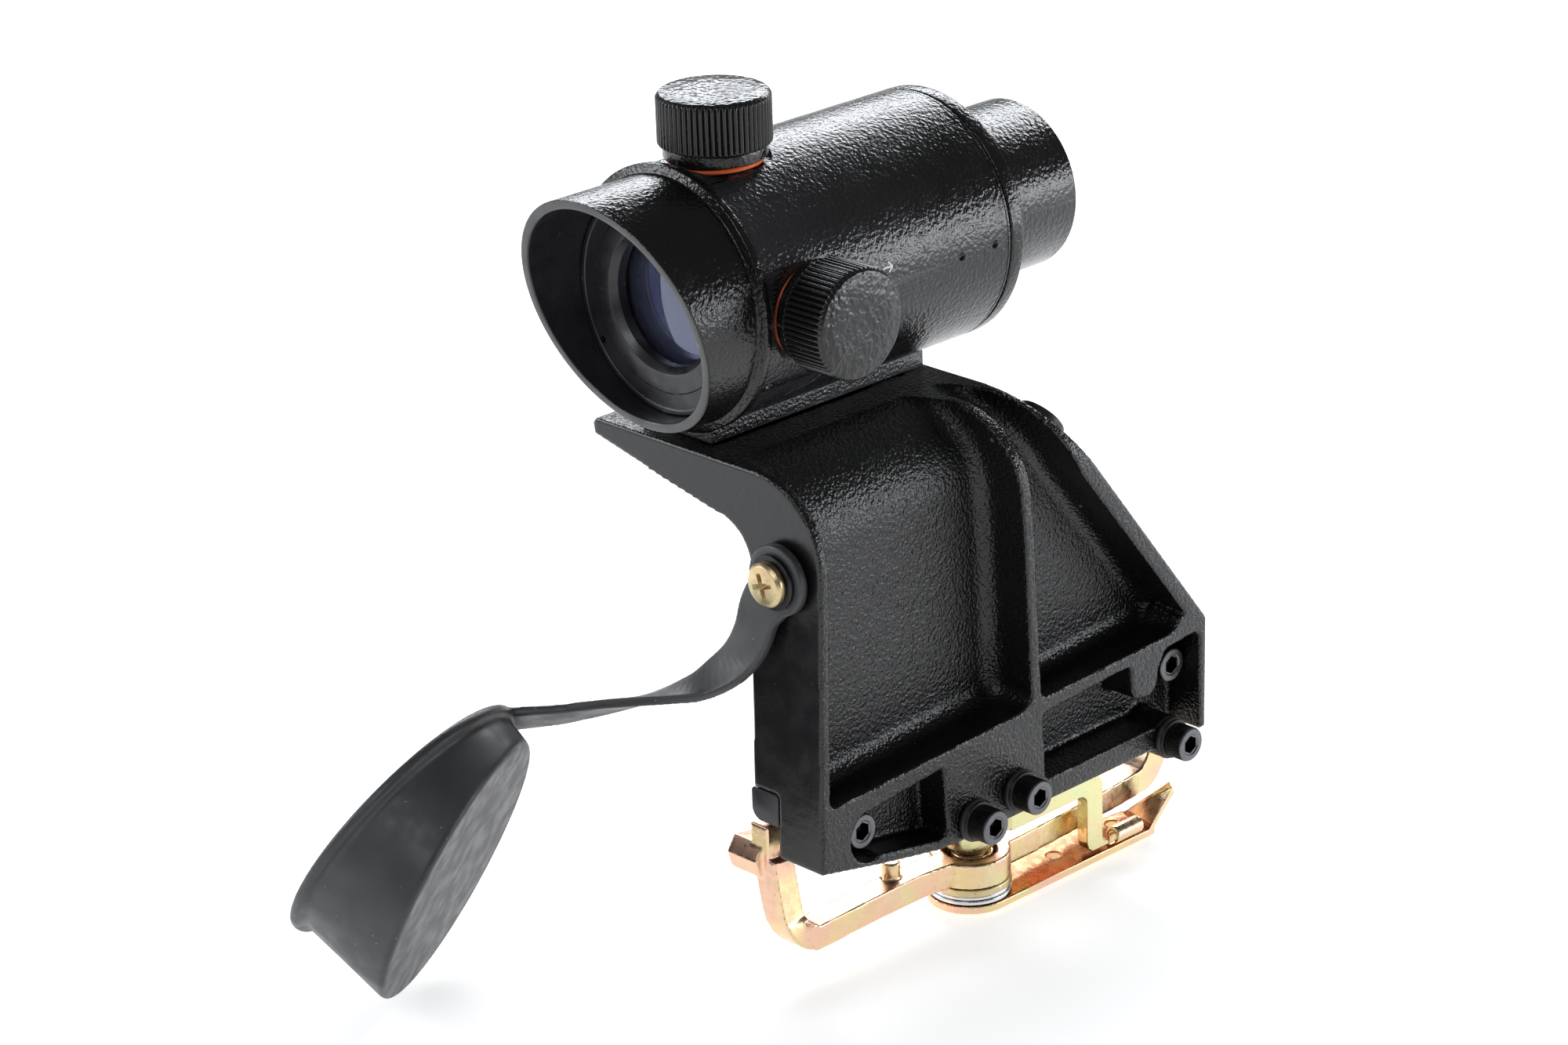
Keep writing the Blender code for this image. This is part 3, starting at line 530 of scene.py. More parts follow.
def make_main_tube():
    """The body tube with a fine groove, three stamped dimples and the curved weld beside the turret."""
    groove = [(TUBE_RADIUS, 62.3), (TUBE_RADIUS - 0.25, 62.45), (TUBE_RADIUS, 62.6)]
    profile = [(TUBE_BORE, TUBE_FRONT), (TUBE_RADIUS - 0.3, TUBE_FRONT), (TUBE_RADIUS, TUBE_FRONT + 0.3)]
    profile += groove
    profile += [(TUBE_RADIUS, TUBE_BACK - 0.3), (TUBE_RADIUS - 0.3, TUBE_BACK), (TUBE_BORE, TUBE_BACK)]
    tools = []
    for x, y, z in DIMPLES:
        out = Vector((x, 0, z)).normalized()
        spot = Vector((0, y, 0))
        tools.append(("DIFFERENCE", turned([
            (0, TUBE_RADIUS - 0.8), (0.6, TUBE_RADIUS - 0.6), (1.25, TUBE_RADIUS + 0.3), (0, TUBE_RADIUS + 1),
        ], out, spot, 24)))
    for direction in (Z, X):
        tools.append(("DIFFERENCE", cylinder(THREAD_RADIUS + 0.1, 15, 40, direction, (0, 0, 0))))
        tools.append(("DIFFERENCE", cylinder(SPOT_RADIUS, SPOT_FACE, 40, direction, (0, 0, 0), 96)))
    body = solid(turned(profile, steps=192), *tools)
    piece("body_tube", body, "sight", "black_paint", TUBE_PAINT, ["main_tube"])
    weld = [-1.0, 0.3, 1.6, 2.9, 4.2, 5.3, 6.3, 7.1, 7.6, 7.9, 7.8]
    route = [(x, y, z) for (x, z), y in zip(arc((0, 0), TUBE_RADIUS, -46, -33, 10), weld)]
    seam("boss_edge", route, 0.5, "sight", "black_paint", TUBE_PAINT)


def seam(name, route, radius, body, slot, material):
    """A thin half-sunk bead along a route."""
    rows = []
    points = [Vector(point) for point in route]
    for i, point in enumerate(points):
        along = (points[min(i + 1, len(points) - 1)] - points[max(i - 1, 0)]).normalized()
        side = along.cross(X if abs(along.x) < 0.8 else Z).normalized()
        other = along.cross(side)
        size = radius * math.sin(math.pi * (i + 0.6) / (len(points) + 0.2))
        rows.append([point + side * (size * math.cos(a)) + other * (size * math.sin(a)) for a in angles(8)])
    piece(name, grid_solid(rows, closed=False), body, slot, material)


def make_rear_cover():
    profile = rounded([
        (SPIGOT_RADIUS, 57.5), (SPIGOT_RADIUS, 63.7), (TUBE_RADIUS, 63.7), (TUBE_RADIUS, 67.7),
        (EYEPIECE_RADIUS, 67.9), (EYEPIECE_RADIUS, EYEPIECE_BACK), (18.6, EYEPIECE_BACK), (18.6, 84.0),
        (15.5, 84.0), (15.5, 80.0), (17.5, 80.0), (17.5, 64.5), (24.5, 64.5), (24.5, 57.5),
    ], 0.5)

    def pick(centre, normal):
        return 1 if math.hypot(centre.x, centre.z) < 18.8 else 0

    piece("eyepiece_cover", turned(profile, steps=192), "sight", "black_paint", (TUBE_PAINT, INNER_SATIN),
          ["rear_cover"], pick)


def make_front_optics():
    profile = rounded([
        (15.3, -14.5), (15.3, -17.0), (16.8, -18.5), (21.0, -18.5), (21.2, -18.3), (24.8, -18.3),
        (25.0, -18.5), (26.0, -18.5), (26.0, -14.5),
    ], 0.25)
    holes = [("DIFFERENCE", cylinder(0.9, -19.5, -16.2, Y, (s * 19.8, 0, s * 13.4), 24)) for s in (1, -1)]
    piece("lens_ring", solid(turned(profile, steps=160), *holes), "sight", "black_anodised", INNER_SATIN,
          ["front_retaining_ring"])
    seal = [(18.5 + 0.62 * math.cos(a), -13.55 + 0.62 * math.sin(a)) for a in angles(12)]
    piece("lens_o_ring", turned(seal), "sight", "orange_rubber", SEAL_RUBBER, ["lens_seal"])

    def dome(height, sag):
        return [(r, height - sag * (1 - (r / 21.0) ** 2)) for r in (0, 3, 6, 9, 12, 15, 18, 20, 21)]

    lens = dome(-12.3, 1.2) + list(reversed(dome(-9.9, -0.7)))
    piece("front_lens", turned(lens), "sight", "glass", LENS_GLASS, ["objective_lens"])


def make_rear_optics():
    window = rounded([(0, 84.3), (18.3, 84.3), (18.3, 86.8), (0, 86.8)], 0.3)
    piece("rear_glass", turned(window), "sight", "glass", LENS_GLASS, ["rear_window"])
    ring = [(15.6, 87.1), (18.3, 87.1), (18.3, 90.1), (16.6, 90.1), (15.6, 89.2)]
    slots = []
    for low, high in ((12, 20), (-20, -12)):
        outline = [(-0.9, low), (0.9, low), (0.9, high), (-0.9, high)]
        slots.append(("DIFFERENCE", extruded(outline, "xz", 89.1, 92)))
    piece("rear_lens_ring", solid(turned(rounded(ring, 0.2)), *slots), "sight", "black_anodised", INNER_SATIN,
          ["rear_retaining_ring"])


def make_carrier():
    """The tilting inner tube, whose stepped baffles show through the front lens."""
    profile = [(17.5, -5.0)]
    for i in range(9):
        y = -3.0 + 5.4 * i
        profile += [(17.5, y), (16.4, y + 0.5), (16.4, y + 1.1), (17.5, y + 1.6)]
    profile += [(17.5, 49.0), (20.0, 49.0), (20.0, -5.0)]
    piece("baffle_tube", turned(profile, steps=96), "carrier", "black_anodised", INNER_SATIN,
          ["inner_carrier"])


def knurl(count, radius, depth):
    """Straight rounded ridges on the parts of a profile that stand at the full radius."""
    def ridges(angle, r):
        if r < radius - 0.01:
            return r
        return r - depth * (1.0 - abs(math.sin(angle * count / 2)) ** 0.8)
    return ridges


def make_turret(name, direction, lean):
    """Flanged seat in its spot face, the orange seal squeezed askew under the flange and the knurled cap."""
    seat = rounded([
        (SCREW_BORE, SEAT_BOTTOM), (THREAD_RADIUS, SEAT_BOTTOM), (THREAD_RADIUS, FLANGE_BOTTOM),
        (FLANGE_RADIUS, FLANGE_BOTTOM), (FLANGE_RADIUS, FLANGE_TOP), (SPINDLE_RADIUS, FLANGE_TOP),
        (SPINDLE_RADIUS, SPINDLE_TOP), (SCREW_BORE, SPINDLE_TOP),
    ], 0.3)
    piece(f"{name}_seat", turned(seat, direction, steps=128), "sight", "black_paint", TUBE_PAINT,
          [f"{name}_turret_base"])
    seal = [(SEAL_RADIUS + SEAL_THICK * math.cos(a), SEAL_HEIGHT + SEAL_THICK * math.sin(a))
            for a in angles(16)]
    askew = (direction + lean).normalized()
    squeezed = turned(seal, askew, (direction - askew) * SEAL_HEIGHT, 128)
    piece(f"{name}_seal", squeezed, "sight", "orange_rubber", SEAL_RUBBER, [f"{name}_o_ring"])
    skirt = [KNOB_BOTTOM + h for h in (0.35, 0.6, 1.4, 3.0, 5.0, 7.0, 9.0, 10.0)]
    profile = [(9.0, KNOB_BOTTOM), (KNOB_RADIUS - 0.6, KNOB_BOTTOM), (KNOB_RADIUS - 0.2, KNOB_BOTTOM + 0.12)]
    profile += [(KNOB_RADIUS, h) for h in skirt] + [(KNOB_RADIUS, KNOB_TOP - 1.0)]
    profile += [(KNOB_RADIUS - 0.15, KNOB_TOP - 0.78), (KNOB_RADIUS - 0.8, KNOB_TOP - 0.1)]
    profile += [(KNOB_RADIUS - 1.0, KNOB_TOP), (6.0, KNOB_TOP), (0, KNOB_TOP), (0, 42.4), (9.0, 42.4)]
    knob = turned(profile, direction, steps=540, ridges=knurl(60, KNOB_RADIUS, 0.62))

    def pick(centre, normal):
        return 1 if centre.dot(direction) > KNOB_TOP - 0.1 else 0

    piece(f"{name}_cap", knob, f"{name}_cap", "black_paint", (TURRET_SIDE, CAP_PAINT), [f"{name}_turret_cap"],
          pick, sharp=50)



def make_marks():
    """Plain white strokes behind each turret, painted on the tube: ticks on top and an arrow on the side."""
    ticks = (((19.6, 2.2), (20.9, 2.2)), ((21.7, 1.5), (21.7, 2.9)), ((22.5, 2.2), (23.8, 2.2)))
    arrow = (((21.9, 3.9), (24.9, 3.9)), ((24.9, 3.9), (23.7, 5.1)), ((24.9, 3.9), (23.7, 2.7)))
    for name, base, strokes in (("elevation", 90.0, ticks), ("windage", 0.0, arrow)):
        bm = bmesh.new()
        for (y0, s0), (y1, s1) in strokes:
            along = Vector((y1 - y0, s1 - s0)).normalized()
            side = Vector((-along.y, along.x)) * 0.22
            corners = []
            for (y, s), sign in (((y0, s0), 1), ((y1, s1), 1), ((y1, s1), -1), ((y0, s0), -1)):
                turn = math.radians(base) + (s + side.y * sign) / TUBE_RADIUS
                corners.append((y + side.x * sign, turn))
            rings = []
            for radius in (TUBE_RADIUS - 0.05, TUBE_RADIUS + 0.03):
                rings.append([
                    bm.verts.new((radius * math.cos(turn), y, radius * math.sin(turn))) for y, turn in corners
                ])
            for i in range(4):
                j = (i + 1) % 4
                bm.faces.new((rings[0][i], rings[0][j], rings[1][j], rings[1][i]))
            bm.faces.new(rings[0])
            bm.faces.new(rings[1])
        bmesh.ops.recalc_face_normals(bm, faces=bm.faces)
        piece(f"{name}_marks", bm, "sight", "black_paint", MARK_WHITE)


def make_tube_foot():
    radius = TUBE_RADIUS + 0.1
    edge = math.degrees(math.asin(FOOT_HALF / radius))
    outline = [(-FOOT_HALF, -31.8), (FOOT_HALF, -31.8)] + arc((0, 0), radius, edge - 90, -edge - 90, 24)
    relief = cylinder(BEAD_RADIUS + 0.1, -20, TUBE_FRONT, Y, (0, 0, 0), 96)
    foot = solid(extruded(outline, "xz", -15.0, 53.0), ("DIFFERENCE", relief), bevel=0.25)
    piece("foot_plate", foot, "sight", "black_anodised", CAST_PAINT, ["tube_foot"])


# ---- bracket casting

TOP = -32.0
BOTTOM = -130.6
INNER_X = 28.8
OUTER_X = 50.8
FRONT_Y = -20.3
FRONT_LEAN = 2.4
PANEL_X = 38.0
PANEL_ARCH = 21.0
ARCH_Z = -52.5
CUT_X = 62.0
CUT_COUNT = 19
CUT_TURNS = 9
FRONT_WEB = 2.7
RIB = 3.3
NOTCH_X = 36.7
PIVOT = Vector((38.0, 38.0, 0.0))
SLOPE = Vector((0.0, 69.8, 54.2)).normalized()
REAR_SCREW = Vector((38.5, 62.0, TOP - 8.0 * 69.8 / 54.2))
STRAP_SCREW = Vector((39.5, 0.0, -54.3))
SOCKET_SCREWS = (
    ("a", -7.0, -118.5, 42.6, 48.0), ("b", 26.2, -126.3, 53.2, 58.0), ("c", 41.2, -124.0, 53.2, 58.0),
    ("d", 94.4, -128.8, 53.2, 58.0), ("e", 101.0, -113.5, 41.0, 46.2),
)


def front_plane(z):
    """The y of the casting's front face, which leans forward toward the bottom."""
    return FRONT_Y - FRONT_LEAN * (TOP - z) / (TOP + 123.0)


def rib_line(z):
    """The y of the middle rib's front side: upright, and swept forward near the top."""
    sweep = max(0.0, z + 62.0)
    return 44.6 - 0.045 * (z + 60.0) - 0.0052 * sweep * sweep


def slope_line(z):
    """The y of the sloping rear web's inner side, which turns in above the pocket's last corner."""
    return min(61.1 + (-48.3 - z) * 39.8 / 50.6, 100.9 - (-98.9 - z) * 2.6 / 3.0)


def panel_cutter(y_low, y_high, z_low, fillet):
    """What a panel's pocket removes. y_low and y_high give its sides at a height, z_low its floor at a y, and
    the corners between the panel and the webs round out over fillet millimetres."""
    arch_x = PANEL_X - PANEL_ARCH
    rows = []
    for degrees in range(112, -1, -4):
        turn = math.radians(degrees)
        out = Vector((math.cos(turn), 0.0, math.sin(turn)))
        rows.append((lambda y, out=out: Vector((arch_x, y, ARCH_Z)) + out * PANEL_ARCH, out))
    for share in (0.2, 0.4, 0.6, 0.8, 0.9, 1.0):
        rows.append((lambda y, s=share: Vector((PANEL_X, y, ARCH_Z + (z_low(y) + fillet - ARCH_Z) * s)), X))
    for degrees in range(15, 91, 15):
        turn = math.radians(degrees)
        shift = Vector((fillet * (1 - math.cos(turn)), 0, -fillet * math.sin(turn)))
        rows.append((lambda y, shift=shift: Vector((PANEL_X, y, z_low(y) + fillet)) + shift,
                     Vector((math.cos(turn), 0, math.sin(turn)))))

    rings = []
    for point_at, out in rows:
        # The sides depend on the height and the height on the sides, so both are found in turns.
        low = high = 0.0
        for _ in range(CUT_TURNS):
            low, high = y_low(point_at(low).z), y_high(point_at(high).z)
        reach = min(fillet, 0.45 * (high - low))
        inset = [s * reach for s in (0.0, 0.06, 0.14, 0.25, 0.4, 0.6, 0.8, 1.0)]
        across = [low + t for t in inset] + [high - t for t in inset]
        across += [low + (high - low) * s for s in (0.25, 0.5, 0.75) if reach < (high - low) * min(s, 1 - s)]
        across = sorted(set(round(y, 4) for y in across))
        while len(across) < CUT_COUNT:
            gaps = [b - a for a, b in zip(across, across[1:])]
            widest = gaps.index(max(gaps))
            across.insert(widest + 1, (across[widest] + across[widest + 1]) / 2)
        floor, cover = [], []
        for y in across:
            edge = min(y - low, high - y, reach)
            rise = reach - math.sqrt(max(0.0, reach * reach - (reach - edge) ** 2))
            point = point_at(y)
            floor.append(point + out * rise)
            cover.append(Vector((CUT_X, y, point.z)) if point.z < ARCH_Z else
                         Vector((arch_x, y, ARCH_Z)) + out * (CUT_X - arch_x))
        rings.append(floor + cover[::-1])
    return grid_solid(rings, closed=False)


def bracket_profile():
    """Front view of the casting: the tongue under the tube, the arch and the wall down to the foot."""
    outline = [(-21.4, TOP), (-22.6, -33.4), (-22.0, -36.0), (0.5, -41.0)]
    outline += arc((17.3, -56.0), 11.5, 90, 0, 24)
    outline += [(INNER_X, -107.7), (NOTCH_X, -107.7), (NOTCH_X, BOTTOM), (OUTER_X, BOTTOM)]
    return outline + arc((30.8, -52.0), 20.0, 0, 90, 32)


def bracket_side():
    """Side view of the casting."""
    return [
        (FRONT_Y, TOP), (54.0, TOP), (108.2, -101.8), (108.0, BOTTOM), (22.0, BOTTOM), (15.5, -130.4),
        (-3.9, -126.9), (front_plane(-123.0), -123.0),
    ]


def make_bracket():
    front = panel_cutter(lambda z: front_plane(z) + FRONT_WEB, rib_line,
                         lambda y: -109.0 + (y - 17.0) * 0.062 + 2.3, 4.6)
    rear = panel_cutter(lambda z: rib_line(z) + RIB, slope_line, lambda y: -104.9 + (y - 50.0) * 0.06, 4.2)

    small = [(16.5, -110.2), (17.6, -126.5), (15.8, -127.8), (-4.7, -124.2)]
    small += arc((-7.0, -118.5), 6.4, -70, -250, 24)
    long = [
        (50.2, -107.8), (80.9, -106.0), (81.4, -112.8), (82.6, -115.0), (85.6, -115.9), (88.6, -115.4),
        (90.3, -114.0), (91.0, -109.9), (93.5, -105.6), (104.4, -104.6), (105.8, -106.0), (105.8, -135.0),
        (98.4, -135.0), (97.0, -126.5), (88.4, -124.7), (51.0, -125.0),
    ]
    jaw = [(INNER_X + 2, -79.0), (25.5, -79.0), (24.6, -80.0), (24.6, -83.0), (INNER_X + 2, -85.5)]
    tools = [
        ("INTERSECT", extruded(bracket_side(), "yz", -40, 60)),
        ("DIFFERENCE", extruded([(-40, -5), (-23, -5), (-12, 22), (-12, 70), (-40, 70)], "xy", -60, -20)),
        ("DIFFERENCE", front), ("DIFFERENCE", rear),
        ("DIFFERENCE", extruded(rounded(small, 1.0), "yz", 42.3, 60)),
        ("DIFFERENCE", extruded(rounded(long, 1.2), "yz", 40.5, 60)),
        ("UNION", cylinder(5.2, 40.0, OUTER_X, X, (0, 94.4, -128.8))),
        ("UNION", cylinder(7.2, BOTTOM, -116.1, Z, PIVOT)),
        ("UNION", extruded(jaw, "xz", -8, 82)),
    ]
    body = solid(extruded(bracket_profile(), "xz", -40, 120), *tools, voxel=0.5, smooth=3)
    holes = [("DIFFERENCE", cylinder(4.3, -140, -117.7, Z, PIVOT))]
    holes += [("DIFFERENCE", cylinder(2.7, 30, 60, X, (0, y, z))) for _, y, z, _, _ in SOCKET_SCREWS]

    def pick(centre, normal):
        return 1 if normal.y < -0.93 and centre.y < front_plane(centre.z) + 0.4 else 0

    piece("bracket_casting", solid(body, *holes), "sight", "black_paint", (CAST_PAINT, FACE_PAINT),
          ["bracket"], pick, sharp=50)


def make_foot_bar():
    outline = [(28.0, -108.6), (28.5, -108.0), (36.1, -108.0), (36.5, -108.5), (36.5, -115.4), (36.1, -115.8)]
    outline += arc((31.0, -112.8), 3.0, -90, -180, 12)
    tab = extruded([(-12.6, -115.0), (-12.6, -124.0), (-1.0, -124.0), (-1.0, -115.0)], "yz", 31.5, 36.4)
    bar = solid(extruded(outline, "xz", -22.3, 107.0), ("UNION", tab), bevel=0.3)
    piece("rail_bar", bar, "sight", "black_anodised", BAR_SATIN, ["foot_bar"])


# ---- fasteners

HEAD_RADIUS = 4.25


def make_socket_screws():
    """Cap screws with knurled heads, a hexagon socket and a chamfered face."""
    for name, y, z, seat, face in SOCKET_SCREWS:
        centre = (0, y, z)
        profile = [(0, seat - 6), (2.5, seat - 6), (2.5, seat), (4.0, seat), (4.2, seat + 0.15)]
        profile += [(HEAD_RADIUS, seat + h) for h in (0.4, 0.9, 1.6, 2.6)]
        profile += [(HEAD_RADIUS, face - 0.75), (HEAD_RADIUS, face - 0.5), (4.1, face - 0.2), (3.85, face)]
        profile += [(2.75, face), (2.45, face - 0.25), (0, face - 0.25)]
        head = turned(profile, X, centre, 288, ridges=knurl(48, HEAD_RADIUS, 0.2))
        socket = cylinder(2.3, face - 2.7, face + 1, X, centre, 6)
        pit = turned([(0, face - 3.6), (1.9, face - 2.6), (1.9, face - 2.5), (0, face - 2.5)], X, centre, 32)

        def pick(point, normal, face=face):
            return 1 if point.x > face - 0.3 and normal.x > 0.5 else 0

        piece(f"cap_screw_{name}", solid(head, ("DIFFERENCE", socket), ("DIFFERENCE", pit)), "sight",
              "black_oxide", (OXIDE, OXIDE_FACE), [f"socket_screw_{name}"], pick)
        if seat > OUTER_X:
            collar = [(2.8, 51.0), (5.2, 51.0), (5.2, 51.9), (4.8, 52.2), (4.8, 53.0), (2.8, 53.0)]
            piece(f"collar_{name}", turned(rounded(collar, 0.3), X, centre, 96), "sight", "rubber",
                  WASHER_RUBBER, [f"screw_collar_{name}"])


def pan_head(name, node, direction, centre, seat):
    """Flat pan head with a large cross recess."""
    head = turned(rounded([
        (0, seat - 3), (2.1, seat - 3), (2.1, seat), (5.1, seat), (5.2, seat + 1.5), (4.5, seat + 2.3),
        (2.8, seat + 2.6), (0, seat + 2.7),
    ], 0.35), direction, centre, 96)
    turn = Z.rotation_difference(direction).to_matrix().to_4x4()
    low, high = seat + 0.4, seat + 4
    tools = []
    for quarter in range(4):
        arm = grid_solid([
            [(-0.25, -0.5, low), (1.0, -0.4, low), (1.0, 0.4, low), (-0.25, 0.5, low)],
            [(-0.4, -0.95, high), (4.4, -0.75, high), (4.4, 0.75, high), (-0.4, 0.95, high)],
        ], closed=False)
        spin = Matrix.Rotation(math.radians(90 * quarter + 18), 4, "Z")
        arm.transform(Matrix.Translation(centre) @ turn @ spin)
        tools.append(("DIFFERENCE", arm))
    piece(name, solid(head, *tools), "sight", "yellow_zinc", GOLD_SCREW, [node])


def make_gold_screws():
    pan_head("front_gold_screw", "strap_screw", -Y, STRAP_SCREW, 25.4)
    washer = rounded([(2.5, 24.2), (6.4, 24.2), (6.4, 25.3), (2.5, 25.3)], 0.3)
    piece("front_washer", turned(washer, -Y, STRAP_SCREW, 96), "sight", "black_oxide", OXIDE,
          ["strap_washer"])
    pan_head("rear_gold_screw", "rear_plug_screw", SLOPE, REAR_SCREW, 2.6)
    ring = rounded([(2.5, 0.0), (6.2, 0.0), (6.2, 2.5), (2.5, 2.5)], 0.6)
    piece("rear_washer", turned(ring, SLOPE, REAR_SCREW, 96), "sight", "rubber", WASHER_RUBBER,
          ["rear_rubber_washer"])


# ---- rail clamp

ARM_TOP = -142.0
ARM_LOW = -148.1
LEVER_TOP = -152.7
LEVER_BOTTOM = -154.7


def make_pivot():
    pin = rounded([(0, -118.0), (3.8, -118.0), (4.0, -118.4), (4.0, -141.9), (3.0, -141.9), (3.0, -154.9),
                   (0, -154.9)], 0.2)
    piece("pivot_rivet", turned(pin, Z, PIVOT, 64), "sight", "white_zinc", WHITE_ZINC, ["pivot_pin"])
    for name, node, inner, outer, high, low, slot, material in (
        ("gold_washer", "thrust_washer", 6.2, 9.9, -148.6, -150.4, "yellow_zinc", GOLD_SCREW),
        ("wave_washer", "spring_washer", 6.2, 9.6, -150.5, -151.4, "white_zinc", WHITE_ZINC),
        ("bottom_washer", "flat_washer", 6.2, 9.9, -151.5, -152.5, "white_zinc", WHITE_ZINC),
    ):
        ring = rounded([(inner, high), (outer, high), (outer, low), (inner, low)], 0.25)
        piece(name, turned(ring, Z, PIVOT, 128), "sight", slot, material, [node])


def make_latch():
    """Domed hub on the pivot with a flat hook cut from the same plate."""
    top = BOTTOM - 0.3
    dome = [(4.3, top), (6.7, top), (6.7, -137.0), (6.2, -140.4), (5.2, -141.6), (4.3, -141.6)]
    hub = turned(rounded(dome, 0.8), Z, PIVOT, 96)
    outline = [(42.0, top)] + arc((69.0, top - 5.0), 5.0, 90, 0, 10)
    outline += [(74.0, -149.3), (74.6, -150.2), (76.0, -150.4), (76.0, -151.6), (70.2, -151.6),
                (69.0, -150.6), (68.4, -149.0)]
    outline += arc((66.0, top - 7.6), 2.4, 0, 90, 8) + [(42.0, top - 5.2)]
    web = [(40, 43.0), (44.7, 38.6), (46.5, 40.0), (48, 43.5), (48, 47), (44.5, 50)]
    hook = solid(hub, ("UNION", extruded(outline, "yz", 44.6, 48.0)),
                 ("UNION", extruded(web, "xy", top - 5.2, top)), voxel=0.3, smooth=3)
    piece("latch_plate", hook, "latch", "green_zinc", LATCH_ZINC, ["latch_hook"], sharp=60)


def smooth_stations(stations, count):
    """Points between the stations along Catmull-Rom curves, each station a flat list of numbers."""
    made = []
    last = len(stations) - 1
    for i in range(last):
        p0, p1 = stations[max(i - 1, 0)], stations[i]
        p2, p3 = stations[i + 1], stations[min(i + 2, last)]
        for step in range(count):
            t = step / count
            made.append([
                0.5 * (2 * b + (c - a) * t + (2 * a - 5 * b + 4 * c - d) * t * t
                       + (3 * b - a - 3 * c + d) * t ** 3)
                for a, b, c, d in zip(p0, p1, p2, p3)
            ])
    return made + [list(stations[-1])]


def make_clamp_arm():
    """Forged bar: a front hook with two stepped facets and a tooth, the eye and the rear hook."""
    corner = (-12.4, -138.6)
    stations = [(-22.6, -117.0, -16.4, -116.2, 31.0), (-22.6, -126.0, -16.4, -126.0, 31.6)]
    for (oy, oz), (iy, iz), centre in zip(arc(corner, 10, 180, 270, 5), arc(corner, 3.9, 180, 270, 5),
                                          (34.0, 34.8, 35.5, 36.1, 36.4, 36.5)):
        stations.append((oy, oz, iy, iz, centre))
    for y, centre in ((5.0, 36.6), (20.0, 36.5), (30.0, 38.0), (46.5, 39.5), (74.7, 38.2), (94.0, 36.8)):
        stations.append((y, ARM_LOW, y, ARM_TOP, centre))
    stations += [(101.0, -147.0, 97.5, -141.0, 36.6), (106.0, -141.0, 100.0, -137.6, 36.4),
                 (107.0, -134.0, 101.0, -132.4, 36.2)]
    rows = []
    for oy, oz, iy, iz, centre in smooth_stations(stations, 4):
        low, high = centre - 3.5, centre + 3.5
        rows.append([(low, oy, oz), (high, oy, oz), (high, iy, iz), (low, iy, iz)])
    facet = [(-24, -125.0), (-18.4, -125.6), (-14.0, -116.0), (-24, -110.0)]
    notch = [(-24, -112.0), (-19.6, -116.5), (-16.6, -116.0), (-16.6, -110), (-24, -110)]
    tooth = [(-24.6, -125.5), (-23.4, -129.6), (-17.0, -133.5), (-16.0, -123.0), (-22.2, -122.0)]
    arm = solid(
        grid_solid(rows, closed=False),
        ("UNION", cylinder(9.7, ARM_TOP - 6.5, ARM_TOP - 0.1, Z, PIVOT, 96)),
        ("UNION", extruded(tooth, "yz", 21.5, 31.0)),
        ("UNION", cylinder(2.2, ARM_TOP - 1, -137.6, Z, (35.6, 14.0, 0))),
        ("DIFFERENCE", extruded(facet, "yz", 33.2, 40)),
        ("DIFFERENCE", extruded(notch, "yz", 20, 40)),
        ("DIFFERENCE", cylinder(6.5, -155, -130, Z, PIVOT, 96)),
        voxel=0.35, smooth=3,
    )

    def pick(centre, normal):
        return 1 if normal.z > 0.5 else 0

    piece("clamp_bar", arm, "clamp_jaw", "yellow_zinc", (ARM_ZINC, PINK_ZINC), ["clamp_arm"], pick, sharp=60)


def make_lever():
    """Pressed plate with a cam, a rolled catch and a turned-up thumb end."""
    px, py, _ = PIVOT
    outline = arc((px, py), 10.2, 0, -180, 40)
    outline += [(28.6, 44.0), (30.4, 51.0), (32.6, 62.0), (34.5, 76.0), (36.6, 93.0), (40.0, 97.0),
                (48.5, 92.0)]
    catch_outer = arc((48.3, -149.6), 2.1, 200, -70, 24)
    catch_inner = list(reversed(arc((48.3, -149.6), 1.1, 200, -70, 24)))
    catch = [(46.3, LEVER_TOP - 1)] + catch_outer + catch_inner + [(47.3, LEVER_TOP - 1)]
    thumb = [
        [(37.5, 92.5, LEVER_BOTTOM), (48.5, 90.0, LEVER_BOTTOM), (48.5, 90.0, LEVER_TOP),
         (37.5, 92.5, LEVER_TOP)],
        [(45.6, 101.0, -146.0), (48.8, 99.0, -146.0), (48.8, 98.2, -144.0), (46.2, 100.2, -144.0)],
    ]
    plate = solid(
        extruded(outline, "xy", LEVER_BOTTOM, LEVER_TOP),
        ("UNION", cylinder(5.0, LEVER_TOP - 1, ARM_TOP - 0.2, Z, PIVOT + Vector((0.8, 0, 0)), 64)),
        ("UNION", extruded(catch, "xz", 77.0, 86.0)),
        ("UNION", grid_solid(thumb, closed=False)),
        ("DIFFERENCE", cylinder(3.3, -160, -130, Z, PIVOT, 48)),
        ("DIFFERENCE", cylinder(1.9, -160, -150, Z, (40.8, 64.2, 0))),
        ("DIFFERENCE", cylinder(1.9, -160, -150, Z, (39.8, 86.5, 0))),
        voxel=0.25, smooth=2,
    )

    def pick(centre, normal):
        return 0 if normal.z > 0.5 and centre.z < LEVER_TOP + 1 else 1

    piece("lever_plate", plate, "lever", "rose_zinc", (LEVER_ZINC, ARM_ZINC), ["lever"], pick, sharp=60)


# ---- rubber cap on its strap

CUP_CENTRE = Vector((-28.9, -78.3, -113.5))
CUP_SIDE = Vector((0.177, 0.833, 0.525)).normalized()
CUP_AXIS = Vector((0.805, 0.185, -0.564)).normalized()
CUP_ACROSS = CUP_AXIS.cross(CUP_SIDE)
CUP_RADIUS = 32.4
CUP_BEAD = 34.6
CUP_WALL = 2.2
CUP_HEIGHT = 19.0
CUP_SLOPE = 9.0
STRAP_FACE = 21.6
STRAP_THICK = 2.4


